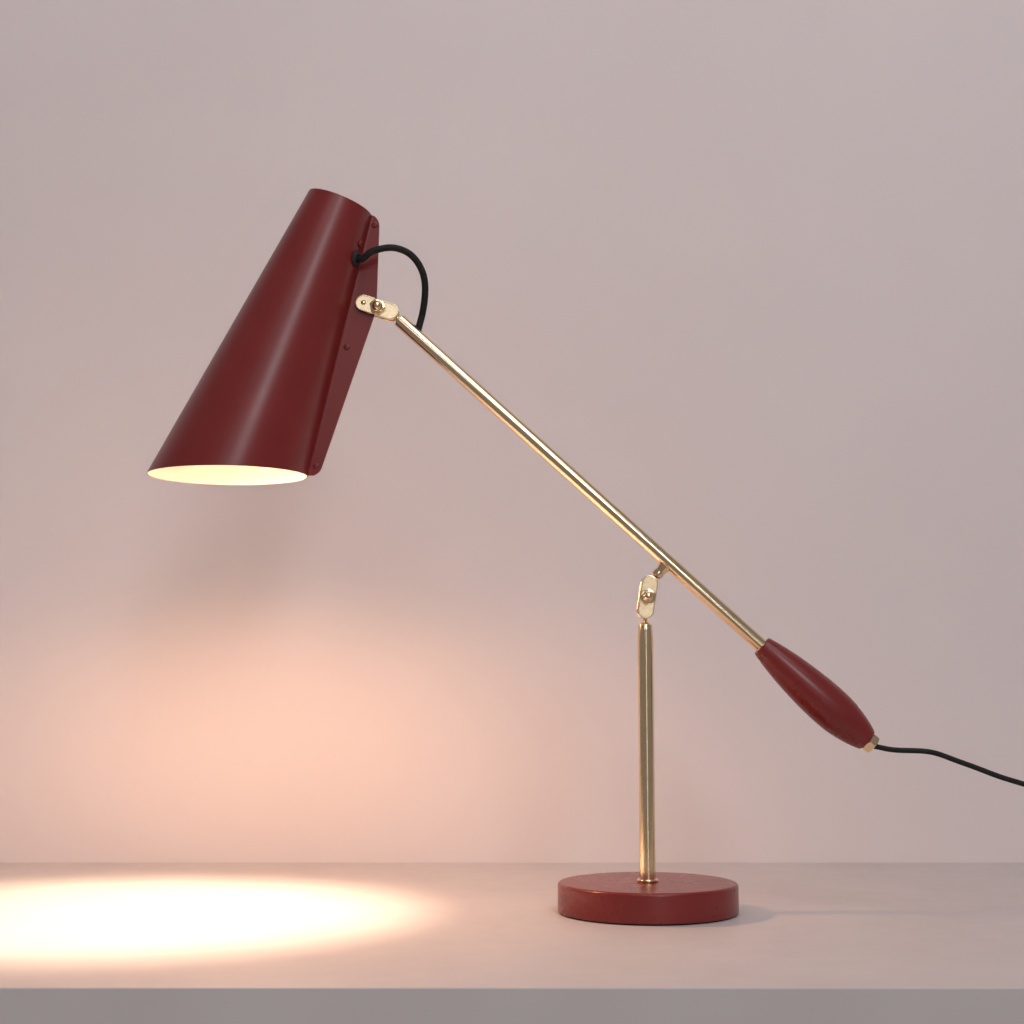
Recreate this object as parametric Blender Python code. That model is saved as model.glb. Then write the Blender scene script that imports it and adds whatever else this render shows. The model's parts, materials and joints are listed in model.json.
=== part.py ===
"""Architect desk lamp, as an assembly of separate parts. Metres, +Z up.

The origin is the centre of the base's underside. Column, arm and shade lie in the XZ plane:
the shade on the -X side, the counterweight on +X. Local frames follow the real axes, and in
each of them local Y faces -Y, the lamp's front.
"""
import math

import bmesh
import bpy
import numpy as np
from mathutils import Matrix, Vector

GAP = 0.0003  # between pieces that touch

# Base and column
BASE_RADIUS, BASE_TOP, BASE_EDGE = 0.080, 0.0268, 0.0025
PAD_RADIUS, PAD_THICKNESS = 0.077, 0.0010
POCKET_RADIUS, POCKET_TOP = 0.015, 0.0111
COLUMN_RADIUS, COLUMN_TIP_RADIUS, COLUMN_WALL = 0.0071, 0.0063, 0.0015
COLUMN_TAPER_START, COLUMN_TOP = 0.240, 0.2553
STUD_RADIUS = 0.0040  # M8 stud that holds the column to the base

# Knuckles: two plates clamped over a ball stud at each end
LINK_PITCH, LINK_RADIUS = 0.0246, 0.0076
PLATE_GAP, PLATE_THICKNESS = 0.0046, 0.0040
BALL_RADIUS, NECK_RADIUS = 0.0046, 0.0020
BOLT_RADIUS, NUT_FLATS = 0.0030, 0.0132
HEAD_PIN_AT = 0.0262  # from the head ball to the pin through the fin
LOWER_BALL = Vector((0, 0, 0.268))
LINK_LEAN = math.radians(9.1)

# Arm: heights above and along its axis are counted from the head ball
ARM_SLOPE = math.radians(42.3)
ARM_RADIUS, ARM_BORE = 0.00635, 0.00535
ARM_START, ARM_END = 0.0106, 0.5860
ARM_STUD_AT, ARM_STUD_REACH = 0.3445, 0.0266
COUNTERWEIGHT_START, COUNTERWEIGHT_LENGTH = 0.4571, 0.1261
GLAND_START, GLAND_LENGTH = 0.5835, 0.0075
CORD_HOLE_AT, CORD_HOLE_SLANT = 0.0325, math.radians(28)
CORD_SLEEVE = 0.0042

# Shade: a rolled cone whose two edges are bent out and riveted into a fin
SHADE_LEAN = math.radians(20.6)
SHADE_TOP = Vector((-0.2811, 0, 0.6476))
SHADE_TOP_RADIUS, SHADE_HALF_ANGLE = 0.03127, math.radians(7.647)
SHADE_RIM_HEIGHT = 0.3915
SHEET = 0.0010
FIN_SLIT = 0.0003
BEND_RADIUS = 0.0020
FIN_CORNER = 0.0080
RIVET_PLACES = ((0.0085, 0.0052), (0.127, 0.0072), (0.2415, 0.0060))  # along and out from the seam
GROMMET_AT, GROMMET_ANGLE = 0.0468, math.radians(21)
BRACKET_SCREW_AT = 0.0323

# Cords
MAINS_DIAMETER, HEAD_CORD_DIAMETER = 0.0048, 0.0063
COIL_CENTRE = Vector((0.455, 0.045, 0))
COIL_INNER, COIL_OUTER, COIL_HEIGHT = 0.0200, 0.0352, 0.0152
SWITCH_CENTRE = Vector((0.520, 0.012, 0))
SWITCH_LENGTH, SWITCH_WIDTH, SWITCH_HEIGHT = 0.062, 0.026, 0.0172
CORD_IN_SWITCH = 0.0078  # height of the cord where it enters the switch
PLUG_FRONT = Vector((0.413, 0.0565, 0.0227))
PLUG_LENGTH = 0.0610  # from its front to the end of its strain relief
SWITCH_TILT = math.radians(8)

PIVOTS = {}
MATERIALS = {}


# ---------------------------------------------------------------- scene and placing

def clear_scene():
    for old in list(bpy.data.objects):
        bpy.data.objects.remove(old, do_unlink=True)


def frame_at(origin, along):
    """Axes with local Z along the given direction and local Y towards -Y."""
    z = Vector(along).normalized()
    y = Vector((0, -1, 0))
    x = y.cross(z)
    placed = Matrix((x, y, z)).transposed().to_4x4()
    placed.translation = origin
    return placed


def across(frame, x=0.0, z=0.0):
    """A frame on this one's local Y axis: its local Z points to the lamp's front."""
    return frame @ Matrix.Translation((x, 0, z)) @ Matrix.Rotation(math.radians(-90), 4, "X")


def pivot(body, frame):
    """The empty on a body's joint axis, which its parts are parented to."""
    empty = bpy.data.objects.new("pivot_" + body, None)
    empty.matrix_world = frame
    empty.empty_display_size = 0.01
    bpy.context.scene.collection.objects.link(empty)
    PIVOTS[body] = (empty, frame.copy())


def finish_material(name, colour, metallic, roughness):
    made = bpy.data.materials.new(name)
    made.use_nodes = True
    shader = made.node_tree.nodes["Principled BSDF"]
    shader.inputs["Base Color"].default_value = (*colour, 1)
    shader.inputs["Metallic"].default_value = metallic
    shader.inputs["Roughness"].default_value = roughness
    made.diffuse_color = (*colour, 1)
    MATERIALS[name] = made


def place(name, data, finish, body, frame):
    """An object of this data in its body's tree, with its own copy of the finish."""
    made = bpy.data.objects.new(name, data)
    bpy.context.scene.collection.objects.link(made)
    if finish:
        own = MATERIALS[finish].copy()
        own.name = name + "_finish"
        data.materials.append(own)
    if body in PIVOTS:
        empty, pivot_frame = PIVOTS[body]
        made.parent = empty
        made.matrix_local = pivot_frame.inverted() @ frame
    else:
        made.matrix_local = frame
    return made


def add(name, shape, finish, body, frame):
    """A smooth-shaded mesh object from a bmesh."""
    bmesh.ops.recalc_face_normals(shape, faces=shape.faces)
    mesh = bpy.data.meshes.new(name)
    shape.to_mesh(mesh)
    shape.free()
    mesh.shade_smooth()
    mesh.set_sharp_from_angle(angle=math.radians(32))
    return place(name, mesh, finish, body, frame)


def cut(target, name, shape, body, frame, operation="DIFFERENCE"):
    """Takes a hidden shape away from the target, or keeps only what is inside it."""
    tool = add("cutter_" + name, shape, None, body, frame)
    tool.hide_render = True
    tool.display_type = "WIRE"
    modifier = target.modifiers.new(name, "BOOLEAN")
    modifier.operation = operation
    modifier.solver = "EXACT"
    modifier.object = tool


# ---------------------------------------------------------------- shapes

def skin(rows, joined=False):
    """Faces between neighbouring rings of points. A ring of one point is a pole."""
    shape = bmesh.new()
    rings = [[shape.verts.new(point) for point in row] for row in rows]
    pairs = list(zip(rings, rings[1:]))
    if joined:
        pairs.append((rings[-1], rings[0]))
    for low, high in pairs:
        count = max(len(low), len(high))
        for i in range(count):
            j = (i + 1) % count
            corners = [low[i % len(low)], low[j % len(low)], high[j % len(high)], high[i % len(high)]]
            shape.faces.new(list(dict.fromkeys(corners)))
    if not joined:
        for end in (rings[0], rings[-1]):
            if len(end) > 2:
                shape.faces.new(end)
    return shape


def turned(profile, steps=32, flats=None):
    """A solid turned about local Z from (radius, height) points; a bored one closes on itself.

    With flats, the width of a hexagon, whatever reaches past the hexagon is cut back to it.
    """
    rows = []
    for radius, height in profile:
        if radius == 0:
            rows.append([(0, 0, height)])
            continue
        ring = []
        for k in range(steps):
            angle = 2 * math.pi * k / steps
            reach = radius
            if flats:
                off_flat = (angle + math.pi / 6) % (math.pi / 3) - math.pi / 6
                reach = min(radius, flats / 2 / math.cos(off_flat))
            ring.append((reach * math.cos(angle), reach * math.sin(angle), height))
        rows.append(ring)
    return skin(rows, joined=profile[0][0] != 0)


def arc(centre, radius, start, end, count):
    """Points (u, v) of a round stretch, angles in degrees."""
    angles = [math.radians(start + (end - start) * k / count) for k in range(count + 1)]
    return [(centre[0] + radius * math.cos(a), centre[1] + radius * math.sin(a)) for a in angles]


def rod(radius, low, high, steps=24):
    return turned([(0, low), (radius, low), (radius, high), (0, high)], steps)


def ball(radius, height, steps=20, rings=8):
    side = arc((0, height), radius, -90, 90, rings)[1:-1]
    return turned([(0, height - radius)] + side + [(0, height + radius)], steps)


def stadium(length, radius, count=10):
    """(x, z) outline with a round end at z = 0 and one at z = length."""
    return arc((0, length), radius, 0, 180, count) + arc((0, 0), radius, 180, 360, count)


def block(low, high, inset=0.0):
    """A box between two corners, its edges along local Z cut back by inset."""
    (x0, y0, z0), (x1, y1, z1) = low, high
    outline = [(x0 + inset, y0), (x1 - inset, y0), (x1, y0 + inset), (x1, y1 - inset),
               (x1 - inset, y1), (x0 + inset, y1), (x0, y1 - inset), (x0, y0 + inset)]
    outline = list(dict.fromkeys(outline))
    return skin([[(x, y, z) for x, y in outline] for z in (z0, z1)])


def pillow(sections):
    """A solid through rounded rectangles: each is (height, half width x, half width y, corner)."""
    rows = []
    for height, half_x, half_y, corner in sections:
        ring = []
        for start, sx, sy in ((0, 1, 1), (90, -1, 1), (180, -1, -1), (270, 1, -1)):
            centre = (sx * (half_x - corner), sy * (half_y - corner))
            ring += [(x, y, height) for x, y in arc(centre, corner, start, start + 90, 4)]
        rows.append(ring)
    return skin(rows)


def smooth_route(points, spacing):
    """Evenly spaced points on the natural cubic spline through the route's points."""
    route = np.array(points, float)
    span = np.linalg.norm(np.diff(route, axis=0), axis=1)
    at = np.concatenate([[0], np.cumsum(span)])
    count = len(route)
    matrix = np.eye(count)
    bend = np.zeros_like(route)
    for i in range(1, count - 1):
        matrix[i, i - 1:i + 2] = span[i - 1], 2 * (span[i - 1] + span[i]), span[i]
        bend[i] = 6 * ((route[i + 1] - route[i]) / span[i] - (route[i] - route[i - 1]) / span[i - 1])
    bend = np.linalg.solve(matrix, bend)
    fine = np.linspace(0, at[-1], 60 * count)
    k = np.clip(np.searchsorted(at, fine, side="right") - 1, 0, count - 2)
    h = span[k][:, None]
    a = (at[k + 1] - fine)[:, None]
    b = (fine - at[k])[:, None]
    curve = (bend[k] * a**3 + bend[k + 1] * b**3) / (6 * h)
    curve += (route[k] / h - bend[k] * h / 6) * a + (route[k + 1] / h - bend[k + 1] * h / 6) * b
    run = np.concatenate([[0], np.cumsum(np.linalg.norm(np.diff(curve, axis=0), axis=1))])
    steps = max(2, round(run[-1] / spacing))
    even = np.linspace(0, run[-1], steps + 1)
    return [Vector([float(np.interp(s, run, curve[:, i])) for i in range(3)]) for s in even]


def cord(name, path, diameter, body):
    """A round cord through the path's points, as a bevelled curve with filled caps."""
    data = bpy.data.curves.new(name, "CURVE")
    data.dimensions = "3D"
    data.bevel_depth = diameter / 2
    data.bevel_resolution = 2
    data.use_fill_caps = True
    line = data.splines.new("POLY")
    line.points.add(len(path) - 1)
    for point, spot in zip(line.points, path):
        point.co = (*spot, 1)
    place(name, data, "cord", body, Matrix.Identity(4))


# ---------------------------------------------------------------- frames of the lamp

UPPER_BALL = LOWER_BALL + LINK_PITCH * Vector((math.sin(LINK_LEAN), 0, math.cos(LINK_LEAN)))
ALONG_ARM = Vector((math.cos(ARM_SLOPE), 0, -math.sin(ARM_SLOPE)))
OFF_ARM = Vector((math.sin(ARM_SLOPE), 0, math.cos(ARM_SLOPE)))
HEAD_BALL = UPPER_BALL + ARM_STUD_REACH * OFF_ARM - ARM_STUD_AT * ALONG_ARM
DOWN_SHADE = Vector((-math.sin(SHADE_LEAN), 0, -math.cos(SHADE_LEAN)))
TO_SEAM = Vector((math.cos(SHADE_LEAN), 0, -math.sin(SHADE_LEAN)))
HEAD_LINK_SLOPE = math.radians(18)

WORLD = Matrix.Identity(4)
LINK = frame_at(LOWER_BALL, UPPER_BALL - LOWER_BALL)
ARM_STUD = frame_at(UPPER_BALL, OFF_ARM)
ARM = frame_at(HEAD_BALL, ALONG_ARM)
CORD_HOLE = frame_at(HEAD_BALL + CORD_HOLE_AT * ALONG_ARM,
                     math.cos(CORD_HOLE_SLANT) * OFF_ARM - math.sin(CORD_HOLE_SLANT) * ALONG_ARM)
SHADE = frame_at(SHADE_TOP, DOWN_SHADE)
HEAD_LINK = frame_at(HEAD_BALL, (-math.cos(HEAD_LINK_SLOPE), 0, math.sin(HEAD_LINK_SLOPE)))
SEAM_START = SHADE_TOP + SHADE_TOP_RADIUS * TO_SEAM
DOWN_SEAM = math.cos(SHADE_HALF_ANGLE) * DOWN_SHADE + math.sin(SHADE_HALF_ANGLE) * TO_SEAM
SEAM = frame_at(SEAM_START, DOWN_SEAM)


# ---------------------------------------------------------------- base and column

def make_base():
    pad = turned([(0, 0), (PAD_RADIUS - 0.0005, 0), (PAD_RADIUS, 0.0005),
                  (PAD_RADIUS, PAD_THICKNESS), (0, PAD_THICKNESS)], 48)
    add("base_pad", pad, "rubber", None, WORLD)
    bottom = PAD_THICKNESS + GAP
    edge = arc((BASE_RADIUS - BASE_EDGE, BASE_TOP - BASE_EDGE), BASE_EDGE, 90, 0, 5)
    bore = STUD_RADIUS + GAP
    weight = turned([(bore, POCKET_TOP), (bore, BASE_TOP)] + edge
                    + [(BASE_RADIUS, bottom + 0.001), (BASE_RADIUS - 0.001, bottom),
                       (POCKET_RADIUS, bottom), (POCKET_RADIUS, POCKET_TOP)], 48)
    add("base_weight", weight, "red_paint", None, WORLD)
    washer_low = POCKET_TOP - GAP - 0.0016
    washer = turned([(bore, washer_low), (bore, POCKET_TOP - GAP), (0.012, POCKET_TOP - GAP),
                     (0.012, washer_low)], 24)
    add("foot_washer", washer, "steel", None, WORLD)
    nut = turned([(bore, 0.0029), (bore, washer_low - GAP), (0.0072, washer_low - GAP),
                  (0.0075, washer_low - GAP - 0.0006), (0.0075, 0.0035), (0.0070, 0.0029)], 24, 0.013)
    add("foot_nut", nut, "steel", None, WORLD)
    add("foot_stud", rod(STUD_RADIUS, 0.0032, 0.050, 20), "steel", None, WORLD)


def make_column():
    foot = BASE_TOP + GAP
    bore = COLUMN_RADIUS - COLUMN_WALL
    tube = turned([(bore, foot), (bore, COLUMN_TOP), (COLUMN_TIP_RADIUS - 0.0003, COLUMN_TOP),
                   (COLUMN_TIP_RADIUS, COLUMN_TOP - 0.0004), (0.0070, COLUMN_TAPER_START + 0.003),
                   (COLUMN_RADIUS, COLUMN_TAPER_START), (COLUMN_RADIUS, foot)], 32)
    add("column_tube", tube, "brass", None, WORLD)
    inner = COLUMN_RADIUS + GAP
    collar = turned([(inner, foot), (inner, foot + 0.0022), (0.0082, foot + 0.0025),
                     (0.0091, foot + 0.0019), (0.0094, foot + 0.0010), (0.0094, foot)], 32)
    add("foot_collar", collar, "brass", None, WORLD)
    plug = bore - GAP
    hole = STUD_RADIUS + GAP
    insert = turned([(hole, foot), (hole, 0.052), (plug, 0.052), (plug, foot)], 24)
    add("column_foot_insert", insert, "steel", None, WORLD)
    hole = BOLT_RADIUS + GAP
    bush = turned([(hole, 0.232), (hole, COLUMN_TOP - GAP), (plug, COLUMN_TOP - GAP), (plug, 0.232)], 24)
    add("column_swivel_bush", bush, "bronze", None, WORLD)


def stud_with_ball(neck_end, rest):
    """Ball at local height 0 on a neck, then the (radius, height) points of the rest of the stud."""
    leave = math.degrees(math.acos(NECK_RADIUS / BALL_RADIUS))
    side = arc((0, 0), BALL_RADIUS, -90, leave, 8)[1:]
    return turned([(0, -BALL_RADIUS)] + side + [(NECK_RADIUS, neck_end)] + rest, 20)


def make_column_stud():
    down = frame_at(LOWER_BALL, (0, 0, -1))
    face = LOWER_BALL.z - COLUMN_TOP - GAP
    end = LOWER_BALL.z - 0.224
    stud = stud_with_ball(face - 0.0030, [(0.0030, face - 0.0024), (0.0044, face - 0.0006), (0.0046, face),
                                          (BOLT_RADIUS, face), (BOLT_RADIUS, end), (0, end)])
    add("column_ball_stud", stud, "brass", "column_swivel", down)
    hole = BOLT_RADIUS + GAP
    nut = turned([(hole, 0.2275), (hole, 0.2308), (0.0050, 0.2308), (0.0050, 0.2275)], 24, 0.0088)
    add("column_stud_nut", nut, "steel", "column_swivel", WORLD)


# ---------------------------------------------------------------- knuckles

def make_knuckle(prefix, frame, body, length, ball_heights):
    """Two clamp plates with ball seats, their bolt and its domed nut."""
    inner = PLATE_GAP / 2
    outer = inner + PLATE_THICKNESS
    soft = 0.0004
    for side, sign in (("front", 1), ("rear", -1)):
        rows = []
        for depth, inset in ((inner, soft), (inner + soft, 0), (outer - soft, 0), (outer, soft)):
            outline = stadium(length, LINK_RADIUS - inset)
            rows.append([(x, sign * depth, z) for x, z in outline])
        plate = add(f"{prefix}_plate_{side}", skin(rows), "brass", body, frame)
        for k, height in enumerate(ball_heights):
            seat = ball(BALL_RADIUS + GAP, height)
            cut(plate, f"{prefix}_{side}_seat_{k}", seat, body, frame)
        hole = rod(BOLT_RADIUS + GAP, -0.012, 0.012)
        cut(plate, f"{prefix}_{side}_bolt_hole", hole, body, across(frame, z=LINK_PITCH / 2))
        if len(ball_heights) == 1:
            hole = rod(NECK_RADIUS + GAP, -0.012, 0.012, 16)
            cut(plate, f"{prefix}_{side}_pin_hole", hole, body, across(frame, z=length))
    middle = across(frame, z=LINK_PITCH / 2)
    seat = outer + GAP
    head = arc((0, -seat - 0.0010), 0.0058, -90, 0, 6)
    head = [(u, -seat - 0.0010 + (v + seat + 0.0010) * 0.5) for u, v in head]
    bolt = turned([(0, head[0][1])] + head[1:] + [(0.0058, -seat), (BOLT_RADIUS, -seat),
                                                  (BOLT_RADIUS, seat + 0.0055), (0, seat + 0.0055)], 24)
    add(f"{prefix}_clamp_bolt", bolt, "brass", body, middle)
    hole = BOLT_RADIUS + GAP
    dome_base = seat + 0.0048
    dome = arc((0, dome_base + 0.0008), 0.0044, 0, 90, 6)
    nut = turned([(0, seat + 0.0060), (hole, seat + 0.0058), (hole, seat), (0.0066, seat), (0.0077, seat + 0.0008),
                  (0.0077, seat + 0.0036), (0.0064, dome_base - 0.0004), (0.0050, dome_base)]
                 + dome[:-1] + [(0, dome[-1][1])], 24, NUT_FLATS)
    add(f"{prefix}_acorn_nut", nut, "brass", body, middle)


# ---------------------------------------------------------------- arm

def make_arm_stud():
    to_tube = ARM_STUD_REACH - ARM_RADIUS
    shank = 0.0025
    end = ARM_STUD_REACH - 0.0010
    stud = stud_with_ball(0.0084, [(0.0032, 0.0090), (0.0047, 0.0094), (0.0050, 0.0102), (0.0050, 0.0140),
                                   (0.0044, 0.0146), (shank, 0.0146), (shank, end), (0, end)])
    add("arm_ball_stud", stud, "brass", "arm_stud", ARM_STUD)
    hole = shank + GAP
    low = ARM_STUD_REACH - 0.0037
    nut = turned([(hole, low), (hole, end), (0.0035, end), (0.0035, low)], 24, 0.0062)
    add("arm_stud_nut", nut, "steel", "arm_stud", ARM_STUD)
    saddle_low = 0.0146 + GAP
    saddle = turned([(hole, saddle_low), (hole, to_tube + 0.0012), (0.0060, to_tube + 0.0012), (0.0058, to_tube),
                     (0.0048, saddle_low + 0.0022), (0.0045, saddle_low)], 32)
    made = add("arm_saddle", saddle, "brass", "arm", ARM_STUD)
    cut(made, "saddle_seat", rod(ARM_RADIUS + GAP, ARM_STUD_AT - 0.02, ARM_STUD_AT + 0.02, 48), "arm", ARM)


def make_arm_tube():
    tube = turned([(ARM_BORE, ARM_START), (ARM_BORE, ARM_END), (ARM_RADIUS, ARM_END),
                   (ARM_RADIUS, ARM_START + 0.0004), (ARM_RADIUS - 0.0004, ARM_START)], 32)
    made = add("arm_tube", tube, "brass", "arm", ARM)
    stud_hole = rod(0.0028, 0.0170, 0.0245, 20)
    cut(made, "arm_stud_hole", stud_hole, "arm", ARM_STUD)
    cut(made, "arm_cord_hole", rod(CORD_SLEEVE + GAP, 0.0020, 0.0130), "arm", CORD_HOLE)
    bore = HEAD_CORD_DIAMETER / 2 + GAP
    liner = turned([(bore, 0.0043), (bore, 0.0130), (CORD_SLEEVE, 0.0130), (CORD_SLEEVE, 0.0043)], 24)
    bush = add("arm_cord_bush", liner, "rubber", "arm", CORD_HOLE)
    cut(bush, "bush_end", rod(ARM_RADIUS + 0.0005, 0.015, 0.050, 48), "arm", ARM, "INTERSECT")
    plug = ARM_BORE - GAP
    hole = NECK_RADIUS + 0.0002 + GAP
    end_plug = turned([(hole, ARM_START), (hole, 0.0210), (plug, 0.0210), (plug, ARM_START)], 24)
    add("arm_end_bush", end_plug, "bronze", "arm", ARM)


def make_counterweight():
    """Turned body: its radius follows a few stations, rounded into a smooth torpedo."""
    stations = np.array([0.0, 0.014, 0.0345, 0.056, 0.077, 0.095, 0.1106, 0.1186, COUNTERWEIGHT_LENGTH])
    radii = np.array([0.0098, 0.0128, 0.0160, 0.0181, 0.0190, 0.0182, 0.0153, 0.0131, 0.0104])
    flat = np.column_stack([stations, radii, np.zeros(len(radii))])
    outline = [(p[1], p[0] + COUNTERWEIGHT_START) for p in smooth_route(flat, 0.010)]
    bore = ARM_RADIUS + GAP
    start = COUNTERWEIGHT_START
    end = start + COUNTERWEIGHT_LENGTH
    profile = [(bore, start), (bore, end), (outline[-1][0] - 0.0004, end)] + outline[-2:0:-1]
    profile += [(outline[0][0] + 0.0001, start + 0.0005), (outline[0][0] - 0.0004, start)]
    add("counterweight", turned(profile, 32), "red_paint", "arm", ARM)


def make_gland():
    start = GLAND_START
    end = start + GLAND_LENGTH
    bore = ARM_RADIUS + GAP
    outlet = 0.0037  # wide enough for the cord to leave at a slant
    nut = turned([(bore, start), (0.0090, start), (0.0094, start + 0.0006), (0.0094, end - 0.0030),
                  (0.0086, end - 0.0014), (0.0070, end - 0.0003), (0.0058, end), (outlet, end),
                  (outlet, end - 0.0016), (bore, end - 0.0016)], 24, 0.0164)
    add("gland_nut", nut, "brass", "arm", ARM)
    hole = MAINS_DIAMETER / 2 + GAP
    bush = turned([(hole, ARM_END + GAP), (hole, end - 0.0023), (bore - GAP, end - 0.0023),
                   (bore - GAP, ARM_END + GAP)], 24)
    add("gland_seal", bush, "rubber", "arm", ARM)


def arm_point(along, off, front=0.0):
    return HEAD_BALL + along * ALONG_ARM + off * OFF_ARM + Vector((0, -front, 0))


def make_inner_cord():
    """The supply cord inside the arm: it lies above the stud's nut and centres itself in the gland."""
    beside = 0.0026
    end = GLAND_START + GLAND_LENGTH - 0.0026
    route = [arm_point(0.038, beside), arm_point(0.545, beside), arm_point(0.553, 0.0023),
             arm_point(0.560, 0.0016), arm_point(0.567, 0.0008), arm_point(0.574, 0.0002),
             arm_point(0.581, 0), arm_point(end, 0)]
    cord("arm_inner_cord", route, MAINS_DIAMETER, "arm")


def make_end_stud():
    face = ARM_START - GAP
    shank = NECK_RADIUS + 0.0002
    end = 0.0242
    stud = stud_with_ball(face - 0.0012, [(0.0034, face - 0.0008), (0.0038, face), (shank, face), (shank, end), (0, end)])
    add("arm_end_ball_stud", stud, "brass", "head_stud", ARM)
    hole = shank + GAP
    nut = turned([(hole, 0.0213), (hole, 0.0238), (0.0042, 0.0238), (0.0042, 0.0213)], 24, 0.0074)
    add("arm_end_stud_nut", nut, "steel", "head_stud", ARM)


# ---------------------------------------------------------------- shade

def fin_width(along):
    """How far the fin reaches from the seam: two straight edges that meet at the knuckle."""
    upper = 0.0082 + 0.205 * along
    lower = 0.0339 - 0.0925 * along
    return (upper + lower - math.sqrt((upper - lower) ** 2 + 0.0012**2)) / 2


SEAM_LENGTH = (SEAM_START.z - SHADE_RIM_HEIGHT) / -DOWN_SEAM.z
CORNER_REACH = 0.0074  # how far along the seam a round corner takes from the fin


def shade_rows():
    """Shares of the way down the sheet, closer together where the fin's outline turns."""
    corner = [0, 0.0006, 0.0017, 0.0034, 0.0053, CORNER_REACH]
    middle = [0.030, 0.058, 0.076, 0.0825, 0.088, 0.094, 0.110, 0.160, 0.205]
    ends = [SEAM_LENGTH - step for step in reversed(corner)]
    return [along / SEAM_LENGTH for along in corner + middle + ends]


def corner_cut(along):
    """How much narrower the fin is inside the round corners at its two ends."""
    inside = CORNER_REACH - min(along, SEAM_LENGTH - along)
    if inside <= 0:
        return 0.0
    return FIN_CORNER - math.sqrt(FIN_CORNER**2 - inside**2)


def sheet_section(radius, depth, width, turns=38):
    """(x, y) points of one face of the sheet, depth inside its outer face, from fin edge to fin edge."""
    flat = FIN_SLIT / 2 + SHEET - depth
    side = FIN_SLIT / 2 + SHEET + BEND_RADIUS
    bend_x = math.sqrt((radius + BEND_RADIUS) ** 2 - side**2)
    turn = math.degrees(math.asin(side / (radius + BEND_RADIUS)))
    fin = [(radius + width, flat), ((radius + width + bend_x) / 2, flat)]
    bend = arc((bend_x, side), BEND_RADIUS + depth, 270, 180 + turn, 4)
    first = turn + 4.0
    wall = arc((0, 0), radius - depth, first, 180, turns // 2)[:-1]
    half = fin + bend + wall
    back = [(-(radius - depth), 0.0)]
    return half + back + [(x, -y) for x, y in reversed(half)]


def shade_point(x, y, share):
    """A section point carried down the cone: the rim is cut level, whatever the shade's lean."""
    radius = math.hypot(x, y)
    spread = Vector((x / radius, y / radius, 0)) * math.sin(SHADE_HALF_ANGLE)
    down = Vector((0, 0, math.cos(SHADE_HALF_ANGLE))) + spread
    start = Vector((x, y, 0))
    top = (SHADE @ start).z
    fall = top - (SHADE @ (start + down)).z
    return start + down * (share * (top - SHADE_RIM_HEIGHT) / fall)


def carry(x, y, share):
    """The bend and the fin go down straight along the seam, the rest of the sheet along the cone."""
    if x < SHADE_TOP_RADIUS - 0.002 or abs(y) > 0.004:
        return shade_point(x, y, share)
    seam = Vector((SHADE_TOP_RADIUS, 0, 0))
    down = shade_point(SHADE_TOP_RADIUS, 0.0, 1.0) - seam
    out = Vector((x, y, 0)) - seam
    level = 1 - out.x * math.sin(SHADE_LEAN) / (SEAM_START.z - SHADE_RIM_HEIGHT)
    return seam + down * share * level + out


def make_shade():
    rows = []
    for share in shade_rows():
        along = share * SEAM_LENGTH
        width = fin_width(along) - corner_cut(along)
        outer = [carry(x, y, share) for x, y in sheet_section(SHADE_TOP_RADIUS, 0.0, width)]
        inner = [carry(x, y, share) for x, y in sheet_section(SHADE_TOP_RADIUS, SHEET, width)]
        rows.append(outer + inner[::-1])
    return add("shade_shell", skin(rows), "red_paint", "head", SHADE)


def grommet_frame():
    radius = SHADE_TOP_RADIUS + GROMMET_AT * math.tan(SHADE_HALF_ANGLE)
    centre = SHADE @ Vector((radius * math.cos(GROMMET_ANGLE), radius * math.sin(GROMMET_ANGLE), GROMMET_AT))
    return wall_frame(centre, GROMMET_ANGLE)


def wall_frame(centre, angle):
    """Local Z out of the shade's wall at this angle from the seam."""
    out = Vector((math.cos(angle), math.sin(angle), 0)) * math.cos(SHADE_HALF_ANGLE)
    out.z = -math.sin(SHADE_HALF_ANGLE)
    z = (SHADE.to_3x3() @ out).normalized()
    y = (SHADE.to_3x3() @ Vector((-math.sin(angle), math.cos(angle), 0))).normalized()
    placed = Matrix((y.cross(z), y, z)).transposed().to_4x4()
    placed.translation = centre
    return placed


def make_shade_holes(shade):
    grommet = grommet_frame()
    cut(shade, "grommet_hole", rod(0.0046, -0.006, 0.006), "head", grommet)
    radius = SHADE_TOP_RADIUS + BRACKET_SCREW_AT * math.tan(SHADE_HALF_ANGLE)
    centre = SHADE @ Vector((radius * math.cos(GROMMET_ANGLE), radius * math.sin(GROMMET_ANGLE), BRACKET_SCREW_AT))
    screw = wall_frame(centre, GROMMET_ANGLE)
    cut(shade, "bracket_screw_hole", rod(0.0018, -0.006, 0.006, 16), "head", screw)
    for k, (along, out) in enumerate(RIVET_PLACES):
        cut(shade, f"rivet_hole_{k}", rod(0.0018, -0.006, 0.006, 16), "head", across(SEAM, out, along))
    cut(shade, "fin_pin_hole", rod(NECK_RADIUS + GAP, -0.006, 0.006, 16), "head", across(HEAD_LINK, z=HEAD_PIN_AT))
    cut(shade, "fin_bolt_notch", rod(0.0038, -0.006, 0.006, 20), "head", across(HEAD_LINK, z=LINK_PITCH / 2))
    return grommet, screw


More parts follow.
